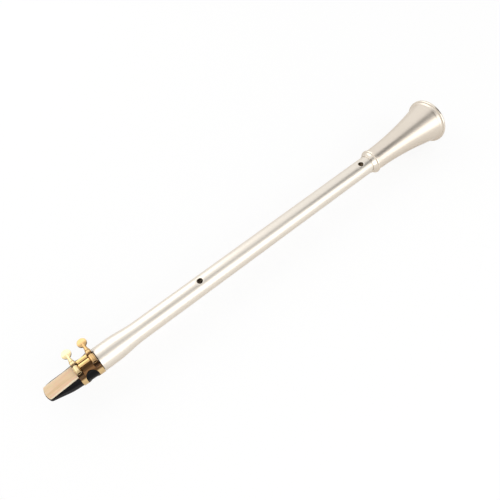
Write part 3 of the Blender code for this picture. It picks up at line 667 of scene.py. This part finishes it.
# %% Body tube: a tree that repeats the drill
holed, given = new_tree(
    "tone_holes", Hole_points="Object", Drill="Object", Tube_radius="Float", Finish="Material"
)
points, drill = (
    add_node(holed, "GeometryNodeObjectInfo", Object=given[name]).outputs["Geometry"]
    for name in ("Hole points", "Drill")
)
hole_radius, side = (
    add_node(holed, "GeometryNodeInputNamedAttribute", {"data_type": "FLOAT"}, Name=name).outputs["Attribute"]
    for name in ("hole_radius", "side")
)
half_turn = sum_node(holed, "MULTIPLY", sum_node(holed, "SUBTRACT", 1, side), math.pi / 2)
tilt = add_node(holed, "ShaderNodeCombineXYZ", X=half_turn).outputs["Vector"]
copies = add_node(
    holed, "GeometryNodeInstanceOnPoints", Points=points, Instance=drill, Scale=hole_radius, Rotation=tilt
)
drills = add_node(holed, "GeometryNodeRealizeInstances", Geometry=copies.outputs["Instances"])
position = add_node(holed, "GeometryNodeInputPosition").outputs["Position"]
y = add_node(holed, "ShaderNodeSeparateXYZ", Vector=position).outputs["Y"]
y_squared, radius_squared = (sum_node(holed, "MULTIPLY", size, size) for size in (y, given["Tube radius"]))
under = sum_node(holed, "SQRT", sum_node(holed, "SUBTRACT", radius_squared, y_squared))
lift = add_node(holed, "ShaderNodeCombineXYZ", Z=sum_node(holed, "MULTIPLY", under, side)).outputs["Vector"]
bent = add_node(holed, "GeometryNodeSetPosition", Geometry=drills.outputs["Geometry"], Offset=lift)
cut = add_node(
    holed, "GeometryNodeMeshBoolean", {"operation": "DIFFERENCE", "solver": "EXACT"},
    Mesh_1=given["Geometry"], Mesh_2=bent.outputs["Geometry"],
)
end_tree(holed, given, cut.outputs["Mesh"])
print("tone holes:", len(holed.nodes), "nodes")

# %% Body tube: drill the holes
HOLES = (  # place, width, and side: 1 for the top and -1 for the underside
    (153.8, 5.5, 1), (355.4, 5.5, 1), (171.8, 6.5, -1), (189.8, 7.0, -1), (207.8, 7.5, -1),
    (234.8, 7.5, -1), (261.8, 6.5, -1), (279.8, 7.5, -1), (309.8, 8.0, -1),
)
RIM_BEVEL, RIM_FLARE = 0.13, 1.5
RIM_CURVE = ((-1, 0), (-0.6, 0.12), (-0.25, 0.45), (0, 1))
DRILL_REACH = 0.9

drill_outline = [(-DRILL_REACH, 0), (-DRILL_REACH, 1)]
drill_outline += [(depth * RIM_BEVEL, 1 + width * RIM_BEVEL) for depth, width in RIM_CURVE]
drill_outline += [(DRILL_REACH, 1 + RIM_FLARE * RIM_BEVEL), (DRILL_REACH, 0)]
drill_piece = turn_outline("drill", drill_outline, satin_nickel, SMALL_SIDES)
drill_piece.data.transform(Matrix.Rotation(-math.pi / 2, 4, "Y"))
hole_mesh = bpy.data.meshes.new("hole_points")
hole_mesh.from_pydata([(place, 0, 0) for place, _, _ in HOLES], [], [])
for name, values in (("hole_radius", [w / 2 for _, w, _ in HOLES]), ("side", [side for _, _, side in HOLES])):
    hole_mesh.attributes.new(name, "FLOAT", "POINT").data.foreach_set("value", values)
hole_points = new_object("hole_points", hole_mesh)
run_tree(
    tube, holed, Hole_points=hole_points, Drill=drill_piece, Tube_radius=TUBE_RADIUS, Finish=satin_nickel
)
for helper in (drill_piece, hole_points):
    bpy.data.objects.remove(helper)

# %% [markdown]
# The faces of the bore get the bare brass. They are found by their distance from the axis, and by facing
# it.

# %% Body tube: bore finish, then hand over
BORE_MARGIN = 0.05

tube.data.materials.append(bore_brass)
lined = 0
for face in tube.data.polygons:
    out = Vector((0, face.center.y, face.center.z))
    if out.length < SOCKET_BORE + BORE_MARGIN and face.normal.dot(out) < 0:
        face.material_index = 1
        lined += 1
print(f"{lined} faces of bare brass")
hand_over(tube, "tube", "satin_nickel", "body_tube")

# %% [markdown]
# ## The bell
# The bell is spun from sheet. It follows a rule: its radius grows with a power of the distance from its
# root, slowly at first and then faster. Just before the mouth it turns out sharply in a small cove, where
# the sheet is rolled over the rim. The inside runs parallel at one sheet's thickness, and opens gently to
# the lip.

# %% Bell
BELL_ROOT, BELL_ROOT_RADIUS, BELL_WALL, ROOT_ROUND = 373.3, 11.35, 0.9, 0.35
FLARE_END, FLARE_RADIUS, FLARE_GROWTH = 453.0, 20.5, 1.9
COVE_END, COVE_TOP, LIP_RADIUS = 456.4, 22.7, 21.9
LIP_SETBACK, LIP_OPENING = 0.1, 1.5
FLARE_ROWS, LIP_ROWS = 65, 9


def bell_radius(place):
    """The outside of the bell at a place."""
    share = (place - BELL_ROOT) / (FLARE_END - BELL_ROOT)
    return BELL_ROOT_RADIUS + (FLARE_RADIUS - BELL_ROOT_RADIUS) * share**FLARE_GROWTH


flare = spread(BELL_ROOT, FLARE_END, FLARE_ROWS)
lip_end, lip_inside = TOTAL_LENGTH - LIP_SETBACK, LIP_RADIUS - BELL_WALL
flare_inside = bell_radius(FLARE_END) - BELL_WALL
outside = quarter((BELL_ROOT + ROOT_ROUND, BELL_ROOT_RADIUS - ROOT_ROUND), ROOT_ROUND, 180, 5)
outside += [(place, bell_radius(place)) for place in flare[1:]]
outside += cove(FLARE_END, COVE_END, FLARE_RADIUS, COVE_TOP)
outside += [(COVE_END, LIP_RADIUS), (lip_end, LIP_RADIUS)]
inside = [(lip_end, lip_inside)]
for share in spread(0, 1, LIP_ROWS)[1:-1]:
    rise = (lip_inside - flare_inside) * (1 - share) ** LIP_OPENING
    inside.append((lip_end - share * (lip_end - FLARE_END), flare_inside + rise))
inside += [(place, bell_radius(place) - BELL_WALL) for place in reversed(flare)]
bell = turn_outline("bell_flare", outside + inside, spun_nickel)
hand_over(bell, "bell", "satin_nickel", "bell")

# %% [markdown]
# The rim is a separate bright ring, rounded like a bead, that stiffens the thin edge. Its end face is a
# narrow flat, on which the instrument can stand. The collar at the other end is turned from bar: a hollow
# sweep up to a round bead, and a sleeve that the bell is soldered onto.

# %% Rim ring and collar
RIM_BACK, RIM_INNER, RIM_OUTER, RIM_ROUND = 456.45, 22.0, 23.5, 1.0
COLLAR_MOUTH, COLLAR_BORE, COLLAR_LIP, COLLAR_BREAK = 366.0, 9.15, 9.6, 0.1
BEAD_START, BEAD_END, BEAD_RADIUS, BEAD_ROUND = 370.6, 373.0, 12.5, 1.15
SLEEVE_RADIUS, STOP_START, STOP_END = 10.35, 384.3, 387.3

rim_outline = [(TOTAL_LENGTH, RIM_INNER), (RIM_BACK, RIM_INNER)]
rim_outline += rounded_back(RIM_BACK, TOTAL_LENGTH, RIM_OUTER, RIM_ROUND)
rim = turn_outline("rim_bead", rim_outline, plated_rim)
hand_over(rim, "bell", "plated_rim", "bell_rim_ring")

sweep_start, sweep_top = COLLAR_MOUTH + COLLAR_BREAK, BEAD_RADIUS - BEAD_ROUND
collar_outline = [(COLLAR_MOUTH, COLLAR_BORE), (COLLAR_MOUTH, COLLAR_LIP - COLLAR_BREAK)]
collar_outline += [(sweep_start, COLLAR_LIP), *cove(sweep_start, BEAD_START, COLLAR_LIP, sweep_top)[:-1]]
collar_outline += rounded_back(BEAD_START, BEAD_END, BEAD_RADIUS, BEAD_ROUND)
collar_outline += [(BEAD_END, SLEEVE_RADIUS), (STOP_END, SLEEVE_RADIUS), (STOP_END, TUBE_BORE)]
collar_outline += [(STOP_START, TUBE_BORE), (STOP_START, COLLAR_BORE)]
collar = turn_outline("collar", collar_outline, plated_rim)
hand_over(collar, "bell", "plated_rim", "bell_ferrule")

# %% [markdown]
# ## The mouthpiece
# A mouthpiece is a turned blank that is cut to a beak. Cutting with Booleans would leave razor edges, but
# the real edges are softened by hand. So this one is a loft: at each place its section is a box (the flat
# table above, the slanting beak below, the two flat cheeks) and the turned round together. Both are blended
# by a high power, which rounds the corners where they meet. At the tip, the sections are bent back to the
# tip's arc.

# %% Mouthpiece: sections
BODY_LENGTH, NOSE_END, WAIST = 47.5, 20.0, 28.0
NOSE_RADIUS, WAIST_RADIUS, REAR_RADIUS = 9.2, 9.75, 10.5
TABLE_TIP_HEIGHT, TABLE_SLOPE = 5.35, math.radians(3.3)
TIP_OPENING, FACING_LENGTH, TIP_THICKNESS = 1.1, 17.0, 1.35
BEAK_SLOPE, PLAN_TAPER = math.radians(18.5), math.radians(6)
TIP_WIDTH, TIP_ARC, TIP_CORNER = 13.4, 14.0, 1.6
BOX_POWER, ROUND_POWER, BEND_POWER = 22, 44, 1.5
AROUND = 160


def body_radius(place):
    """The turned blank's radius."""
    if place < WAIST:
        share = min(max((place - NOSE_END) / (WAIST - NOSE_END), 0), 1)
        return NOSE_RADIUS + (WAIST_RADIUS - NOSE_RADIUS) * share
    return WAIST_RADIUS + (REAR_RADIUS - WAIST_RADIUS) * (place - WAIST) / (BODY_LENGTH - WAIST)


def half_width_at(place):
    """Half the distance between the cheeks."""
    return TIP_WIDTH / 2 + place * math.tan(PLAN_TAPER)


def section_point(place, turn):
    """A point of the section at a place, at a turn from the top towards +Y."""
    fall = TIP_OPENING * max(1 - place / FACING_LENGTH, 0) ** 2
    top = TABLE_TIP_HEIGHT + place * math.tan(TABLE_SLOPE) - fall
    bottom = TABLE_TIP_HEIGHT - TIP_OPENING - TIP_THICKNESS - place * math.tan(BEAK_SLOPE)
    half_width = half_width_at(place)
    middle, half_height = (top + bottom) / 2, (top - bottom) / 2
    across, up = math.sin(turn), math.cos(turn)
    box = (abs(across) ** BOX_POWER + abs(up) ** BOX_POWER) ** (-1 / BOX_POWER)
    a = (half_width * across) ** 2 + (half_height * up) ** 2
    b = middle * half_height * up
    turned_round = (-b + math.sqrt(b * b + a * (body_radius(place) ** 2 - middle**2))) / a
    reach = (box**-ROUND_POWER + turned_round**-ROUND_POWER) ** (-1 / ROUND_POWER)
    return half_width * across * reach, middle + half_height * up * reach


def tip_setback(across, half_width, corner=TIP_CORNER):
    """How far the tip's outline lies behind its foremost point, at a distance from the middle."""
    across = min(abs(across), half_width)
    side = half_width - corner
    reach = TIP_ARC - corner
    centre = TIP_ARC - math.sqrt(reach**2 - side**2)
    if across <= side * TIP_ARC / reach:
        return TIP_ARC - math.sqrt(TIP_ARC**2 - across**2)
    return centre - math.sqrt(max(corner**2 - (across - side) ** 2, 0))


def bent_back(place, across, half_width, length):
    """A place moved back to the tip's arc. The bend dies out over a length."""
    return place + tip_setback(across, half_width) * max(1 - place / length, 0) ** BEND_POWER


print("the tip is", round(2 * section_point(0, math.pi / 2)[0], 1), "mm wide")

# %% [markdown]
# The loft's rings stand close together at the tip and further apart behind. After the shoulder they become
# plain rounds for the tenon with its groove for the cork, and then turn back through the bore to the
# chamber. The window is cut last, under the reed, with its floor sloping down into the chamber.

# %% Mouthpiece: loft
BEND_LENGTH = 11.0
TIP_PLACES, TIP_SQUEEZE = [0.0, 0.12, 0.35, 0.7, 1.2, 1.9, 2.8], (0.72, 0.93)
LOFT_START, LOFT_RINGS, BLANK_BREAK = 4, 44, 0.25
TENON_RADIUS, TENON_END, TENON_BREAK = 8.95, 63.5, 0.3
CORK_GROOVE, CORK_START, CORK_END = 8.35, 50.0, 60.5
BORE_AT_TENON, CHAMBER_RADIUS, THROAT_RADIUS, THROAT_START = 6.2, 5.7, 3.7, 24.0


def ring_walls(rings, around):
    """The faces between each ring of points and the next."""
    faces = []
    for here in range(0, (rings - 1) * around, around):
        for step in range(around):
            after = (step + 1) % around
            faces.append((here + step, here + after, here + around + after, here + around + step))
    return faces


tip_middle = TABLE_TIP_HEIGHT - TIP_OPENING - TIP_THICKNESS / 2
rings = []
for place in TIP_PLACES + spread(LOFT_START, BODY_LENGTH - BLANK_BREAK, LOFT_RINGS) + [BODY_LENGTH]:
    squeeze = TIP_SQUEEZE[len(rings)] if len(rings) < len(TIP_SQUEEZE) else 1.0
    ring = []
    for step in range(AROUND):
        turn = math.tau * step / AROUND
        x = bent_back(place, section_point(place, turn)[0], half_width_at(place), BEND_LENGTH)
        y, z = section_point(x, turn)
        ring.append((x, y, tip_middle + (z - tip_middle) * squeeze))
    rings.append(ring)
headings = [math.atan2(y, z) for _, y, z in rings[-1]]
for place, radius in (
    (BODY_LENGTH, TENON_RADIUS),
    (CORK_START, TENON_RADIUS),
    (CORK_START, CORK_GROOVE),
    (CORK_END, CORK_GROOVE),
    (CORK_END, TENON_RADIUS),
    (TENON_END - TENON_BREAK, TENON_RADIUS),
    (TENON_END, TENON_RADIUS - TENON_BREAK),
    (TENON_END, BORE_AT_TENON),
    (BODY_LENGTH, CHAMBER_RADIUS),
    (THROAT_START, THROAT_RADIUS),
):
    rings.append([(place, radius * math.sin(a), radius * math.cos(a)) for a in headings])
faces = ring_walls(len(rings), AROUND)
half_round = AROUND // 2
top_row = [step % AROUND for step in range(-AROUND // 4, AROUND // 4 + 1)]
for first, second in zip(top_row, top_row[1:]):
    corners = [first, second, (half_round - second) % AROUND, (half_round - first) % AROUND]
    faces.append(tuple(dict.fromkeys(corners)))
faces.append(tuple((len(rings) - 1) * AROUND + step for step in range(AROUND)))
mouthpiece = mesh_from("mouthpiece_body", sum(rings, []), faces, hard_rubber)
print(len(rings), "rings,", len(faces), "faces")

# %% Mouthpiece: window under the reed
TIP_RAIL, SIDE_RAIL = 1.3, 1.2
WINDOW_LENGTH, WINDOW_END_WIDTH = 28.0, 8.6
BAFFLE_LIP, BAFFLE_SLOPE = 0.8, math.radians(14)
ABOVE = 14.0
PLAN_POINTS = 41


def upright(name, outline, low, high, material):
    """A (place, across) outline pushed from one height to another. Each height is a function of the place."""
    count = len(outline)
    points = [(x, y, height(x)) for height in (low, high) for x, y in outline]
    ends = [tuple(range(count)), tuple(range(count, 2 * count))]
    return mesh_from(name, points, ring_walls(2, count) + ends, material)


rail_half = TIP_WIDTH / 2 - SIDE_RAIL
plan = [(TIP_RAIL + tip_setback(y, rail_half), y) for y in spread(-rail_half, rail_half, PLAN_POINTS)]
plan += [(WINDOW_LENGTH, WINDOW_END_WIDTH / 2), (WINDOW_LENGTH, -WINDOW_END_WIDTH / 2)]
baffle_start = TABLE_TIP_HEIGHT - TIP_OPENING - BAFFLE_LIP
window = upright(
    "window_cutter", plan, lambda x: baffle_start - x * math.tan(BAFFLE_SLOPE), lambda x: ABOVE, hard_rubber
)
combine(mouthpiece, window, "DIFFERENCE")
hand_over(mouthpiece, "mouthpiece", "black_hard_rubber", "mouthpiece")

# %% [markdown]
# The cork is a thin sleeve, glued into its groove and sanded round, a little lower at both ends.

# %% Cork sleeve
SLEEVE_START, SLEEVE_END, SLEEVE_INNER, SLEEVE_OUTER, SLEEVE_EASE = 50.1, 60.4, 8.45, 9.6, 0.5
sleeve_back = rounded_back(SLEEVE_START, SLEEVE_END, SLEEVE_OUTER, SLEEVE_EASE, 5)
sleeve_outline = [(SLEEVE_START, SLEEVE_INNER), *sleeve_back, (SLEEVE_END, SLEEVE_INNER)]
sleeve = turn_outline("cork_sleeve", sleeve_outline, cork, MEDIUM_SIDES)
hand_over(sleeve, "cork", "cork", "tenon_cork")

# %% [markdown]
# ## The reed
# The reed is flat below and shaved above, from a thick heel to a tip as thin as paper. Its sections are
# thickest in the middle. They are lofted along the reed and bent back to the arc of the tip, like those of
# the mouthpiece, and the whole is then laid on the slope of the table.

# %% Reed
REED_SETBACK, REED_LENGTH, REED_SHAVED = 0.5, 46.0, 29.0
REED_TIP_PLACES, REED_LOFT_START, REED_RINGS = [0, 0.15, 0.4, 0.8, 1.4, 2.2], 3.2, 46
REED_TIP_WIDTH, REED_HEEL_WIDTH = 12.9, 11.8
REED_TIP_THICKNESS, REED_HEEL_THICKNESS, REED_EDGE_SHARE = 0.2, 2.7, 0.28
REED_CLEARANCE, REED_BEND = 0.1, 10.0
REED_ACROSS = 41

reed_rings = []
for place in REED_TIP_PLACES + spread(REED_LOFT_START, REED_LENGTH, REED_RINGS):
    top_row, bottom_row = [], []
    half = (REED_TIP_WIDTH + (REED_HEEL_WIDTH - REED_TIP_WIDTH) * place / REED_LENGTH) / 2
    for share in spread(-1, 1, REED_ACROSS):
        along = bent_back(place, half * share, half, REED_BEND)
        shaved = min(along / REED_SHAVED, 1)
        middle = REED_TIP_THICKNESS + (REED_HEEL_THICKNESS - REED_TIP_THICKNESS) * shaved
        edge = REED_TIP_THICKNESS + (middle - REED_TIP_THICKNESS) * REED_EDGE_SHARE
        bottom_row.append((along, half * share, 0))
        top_row.append((along, half * share, edge + (middle - edge) * (1 - share**2)))
    reed_rings.append(bottom_row + top_row[::-1])
count = 2 * REED_ACROSS
faces = ring_walls(len(reed_rings), count)
for base in (0, (len(reed_rings) - 1) * count):
    last = base + count - 1
    faces += [(base + i, base + i + 1, last - 1 - i, last - i) for i in range(REED_ACROSS - 1)]
reed = mesh_from("cane_reed", sum(reed_rings, []), faces, cane)
rise = TABLE_TIP_HEIGHT + REED_SETBACK * math.tan(TABLE_SLOPE) + REED_CLEARANCE / math.cos(TABLE_SLOPE)
lay = Matrix.Translation((REED_SETBACK, 0, rise)) @ Matrix.Rotation(-TABLE_SLOPE, 4, "Y")
reed.data.transform(lay)
hand_over(reed, "reed", "cane", "reed")

# %% [markdown]
# ## The ligature
# The ligature is a band of sheet brass, bent round, slit on top and pierced by a large round-ended window
# in each side. Its edges are bright, because they are filed and polished, and that bright line is what
# shows the sheet's thickness. So the band is turned and cut like the tube, and then its edges are broken
# with a small bevel.

# %% Ligature: band
BAND_FRONT, BAND_REAR, BAND_RAISE, BAND_SLACK, BAND_SHEET = 27.9, 47.4, 0.4, 0.33, 0.5
SLOT_TAIL_SIDE, SLOT_HEAD_SIDE, SLOT_OVERSHOOT = 1.0, 2.0, 2
WINDOW_PLACE, WINDOW_HALF_WIDTH, WINDOW_TOP, WINDOW_BOTTOM = 37.35, 5.3, 8.9, -7.7
SOLDER_GAP = 0.1
EDGE_BREAK = 0.1
WIDE = 30.0
BAND_SIDES, HALF_ROUND_POINTS = 180, 33


def band_radius(place):
    """The outside of the band at a place."""
    return body_radius(place) + BAND_SLACK + BAND_SHEET


def ring_piece(name, start, end, inner, outer, material):
    """A ring that follows the cone of the band, at the band's height. Both radii are added to the band's."""
    corners = ((start, inner), (start, outer), (end, outer), (end, inner))
    outline = [(place, band_radius(place) + more) for place, more in corners]
    made = turn_outline(name, outline, material, BAND_SIDES)
    made.data.transform(Matrix.Translation((0, 0, BAND_RAISE)))
    return made


def block(name, low, high, material):
    """A box between two corners."""
    outline = [(low[0], low[1]), (high[0], low[1]), (high[0], high[1]), (low[0], high[1])]
    return upright(name, outline, lambda x: low[2], lambda x: high[2], material)


band = ring_piece("brass_band", BAND_FRONT, BAND_REAR, -BAND_SHEET, 0, gold_band)
slot_low = (BAND_FRONT - SLOT_OVERSHOOT, SLOT_TAIL_SIDE, 0)
slot_high = (BAND_REAR + SLOT_OVERSHOOT, SLOT_HEAD_SIDE, WIDE)
combine(band, block("slot_cutter", slot_low, slot_high, gold_band), "DIFFERENCE")
stadium = []
ends = ((WINDOW_TOP - WINDOW_HALF_WIDTH, 0), (WINDOW_BOTTOM + WINDOW_HALF_WIDTH, math.pi))
for centre_height, start in ends:
    for angle in spread(start, start + math.pi, HALF_ROUND_POINTS):
        place = WINDOW_PLACE + WINDOW_HALF_WIDTH * math.cos(angle)
        stadium.append((place, centre_height + WINDOW_HALF_WIDTH * math.sin(angle)))
windows = upright("window_cutter", stadium, lambda x: -WIDE, lambda x: WIDE, gold_band)
windows.data.transform(Matrix.Rotation(math.pi / 2, 4, "X"))
face_outwards(windows)
combine(band, windows, "DIFFERENCE")
break_edges(band, EDGE_BREAK)
hand_over(band, "ligature", "gold_lacquer", "ligature_band")

# %% [markdown]
# Two flat rails stiffen the band beside its slit. At each end of the rails stands a pair of short tubes, in
# line across the slit, and each is soldered to the band by a curved plate that reaches past its outer end.
# A thumb screw goes through each pair and draws the slit together. The front fittings get a paler copy of
# the lacquer and the rear ones a deeper one, as painted light and shade. Shade is also painted in brown on
# the posts at the foot, beside the slit and towards the tail, and on the screws' underside.

# %% Ligature: rails and posts
POST_RADIUS, POST_SINK, POST_BORE, POST_CHAMFER, POST_BREAK = 2.4, 0.25, 1.45, 0.22, 0.08
POST_HEAD_END, POST_TAIL_END = 5.6, -6.2
PLATE_THICKNESS, PLATE_REACH = 0.7, 2.0
POST_PLACES = {"front": BAND_FRONT + POST_RADIUS, "rear": BAND_REAR - POST_RADIUS}
# Painted light and shade: the front fittings' tones are paler and the rear ones' deeper.
LIT_AND_SHADED_FITTING_TONES = {
    "front": ((0.88, 0.72, 0.42), (0.83, 0.64, 0.34)),
    "rear": ((0.69, 0.46, 0.22), (0.62, 0.39, 0.165)),
}
# Painted shade on the posts: at the foot by the band, beside the slit and towards the tail.
POST_PAINTED_SHADE = (("Z", 8, 2.7, 3.5, 1.0), ("Y", 2.4, 0.5, 1.3, 0.9), ("Y", -8.0, 2.5, 5.0, 0.6))
SHADE_DROP, SHADE_FULL, SHADE_FADED = 3, 3.4, 3.7
RAIL_START, RAIL_END, RAIL_WIDTH, RAIL_HEIGHT = 33.0, 42.3, 2.9, 1.0
RAIL_BASE, RAIL_BREAK = 8, 0.22
CORE_DEPTH, CORE_OVERSHOOT = 6, 3
SPAN_OVERSHOOT, DRILL_OVERSHOOT = 1, 3


def screw_height(place):
    """The height of a screw's axis above the bore's."""
    return BAND_RAISE + band_radius(place) + POST_RADIUS - POST_SINK


def across_at(made, place):
    """Turns a piece that was made along X to lie across the band at a place, its start towards the tail."""
    turn = Matrix.Rotation(math.pi / 2, 4, "Z")
    made.data.transform(Matrix.Translation((place, 0, screw_height(place))) @ turn)
    return made


def trim_to_band(made):
    """Cuts away what lies within the band or its solder gap."""
    start, end = BAND_FRONT - CORE_OVERSHOOT, BAND_REAR + CORE_OVERSHOOT
    combine(made, ring_piece("core", start, end, -CORE_DEPTH, SOLDER_GAP, gold_lacquer), "DIFFERENCE")


rail_places = (("head_side", SLOT_HEAD_SIDE), ("tail_side", SLOT_TAIL_SIDE - RAIL_WIDTH))
for name, near in rail_places:
    top = BAND_RAISE + band_radius(RAIL_END) + RAIL_HEIGHT
    low, high = (RAIL_START, near, RAIL_BASE), (RAIL_END, near + RAIL_WIDTH, top)
    rail = block(f"{name}_strip", low, high, gold_lacquer)
    trim_to_band(rail)
    break_edges(rail, RAIL_BREAK, 3)
    hand_over(rail, "ligature", "gold_lacquer", f"{name}_rail")

for end, place in POST_PLACES.items():
    finish = gold(f"gold_{end}_posts", *LIT_AND_SHADED_FITTING_TONES[end], *POST_PAINTED_SHADE)
    for side, low, high in (("head", SLOT_HEAD_SIDE, POST_HEAD_END), ("tail", POST_TAIL_END, SLOT_TAIL_SIDE)):
        low_in, high_in, face = low + POST_CHAMFER, high - POST_CHAMFER, POST_RADIUS - POST_CHAMFER
        mouth = POST_BORE + POST_CHAMFER
        barrel_outline = [(low, mouth), (low, face), (low_in, POST_RADIUS), (high_in, POST_RADIUS)]
        barrel_outline += [(high, face), (high, mouth), (high_in, POST_BORE), (low_in, POST_BORE)]
        post = across_at(turn_outline(f"{end}_{side}_barrel", barrel_outline, finish, SMALL_SIDES), place)
        start, stop = place - POST_RADIUS, place + POST_RADIUS
        plate = ring_piece("plate", start, stop, SOLDER_GAP, SOLDER_GAP + PLATE_THICKNESS, finish)
        span_low = (start - SPAN_OVERSHOOT, low - (PLATE_REACH if side == "tail" else 0), 0)
        span_high = (stop + SPAN_OVERSHOOT, high + (PLATE_REACH if side == "head" else 0), WIDE)
        combine(plate, block("span", span_low, span_high, finish), "INTERSECT")
        combine(post, plate, "UNION")
        trim_to_band(post)
        drill_start, drill_end = low - DRILL_OVERSHOOT, high + DRILL_OVERSHOOT
        drill_outline = [(drill_start, 0), (drill_start, POST_BORE), (drill_end, POST_BORE), (drill_end, 0)]
        drill = across_at(turn_outline("drill", drill_outline, finish, SMALL_SIDES), place)
        combine(post, drill, "DIFFERENCE")
        break_edges(post, POST_BREAK)
        hand_over(post, "ligature", "gold_lacquer", f"{end}_{side}_post")

# %% [markdown]
# A thumb screw is turned in one piece with its neck, and its head is a coin set on edge across the end. The
# outline runs from the threaded shank over a shoulder into a neck that narrows in a long curve. The thread
# is a row of fine ridges in the same outline. The head is turned by itself and joined.

# %% Ligature: thumb screws
SHANK_START, SHOULDER_START, SHOULDER_END = -5.5, 5.9, 6.5
SHANK_RADIUS, SHOULDER_RADIUS, SHOULDER_BREAK = 1.3, 2.2, 0.12
NECK_RADIUS, NECK_LENGTH, NECK_STEP, NECK_TAPER, HEAD_OVERLAP = 1.45, 4.0, 0.15, 0.2, 0.5
HEAD_RADIUS, HEAD_THICKNESS, HEAD_ROUND = 4.1, 1.6, 0.3
THREAD_PITCH, THREAD_DEPTH, THREAD_LEAD, THREAD_SPARE = 0.7, 0.16, 0.15, 0.6
THREAD_CREST, THREAD_ROOT, NECK_ROWS = 0.5, 0.92, 15
HEAD_CENTRE = SHOULDER_END + NECK_LENGTH + HEAD_RADIUS

root_radius = SHANK_RADIUS - THREAD_DEPTH
shank = [(SHANK_START, 0), (SHANK_START, root_radius)]
for ridge in range(int((SHOULDER_START - SHANK_START - THREAD_SPARE) / THREAD_PITCH)):
    start = SHANK_START + THREAD_LEAD + ridge * THREAD_PITCH
    shank.append((start + THREAD_CREST * THREAD_PITCH, SHANK_RADIUS))
    shank.append((start + THREAD_ROOT * THREAD_PITCH, root_radius))
shank += [(SHOULDER_START, root_radius), (SHOULDER_START, SHOULDER_RADIUS - SHOULDER_BREAK)]
shank += straight(SHOULDER_RADIUS, SHOULDER_START + SHOULDER_BREAK, SHOULDER_END - SHOULDER_BREAK, 2)
for share in spread(0, 1, NECK_ROWS):
    narrowing = (SHOULDER_RADIUS - NECK_STEP - NECK_RADIUS) * (1 - share) ** 2
    shank.append((SHOULDER_END + NECK_LENGTH * share, NECK_RADIUS + narrowing))
neck_end = HEAD_CENTRE - HEAD_RADIUS + HEAD_OVERLAP
shank += [(neck_end, NECK_RADIUS - NECK_TAPER), (neck_end, 0)]
half = HEAD_THICKNESS / 2
coin = [(-half, 0), *rounded_back(-half, half, HEAD_RADIUS, HEAD_ROUND, 5), (half, 0)]
for end, place in POST_PLACES.items():
    # Painted shade on the screw's underside and lower half.
    painted_shade_under_head = ("Z", screw_height(place) - SHADE_DROP, SHADE_FULL, SHADE_FADED, 1.0)
    finish = gold(f"gold_{end}_screw", *LIT_AND_SHADED_FITTING_TONES[end], painted_shade_under_head)
    screw_painted_light_and_shade = across_at(turn_outline(f"{end}_screw", shank, finish, SMALL_SIDES), place)
    head = turn_outline("head", coin, finish, MEDIUM_SIDES)
    upright_head = Matrix.Rotation(math.pi / 2, 4, "Y")
    head.data.transform(Matrix.Translation((place, HEAD_CENTRE, screw_height(place))) @ upright_head)
    combine(screw_painted_light_and_shade, head, "UNION")
    hand_over(screw_painted_light_and_shade, f"{end}_screw", "gold_lacquer", f"{end}_thumb_screw")
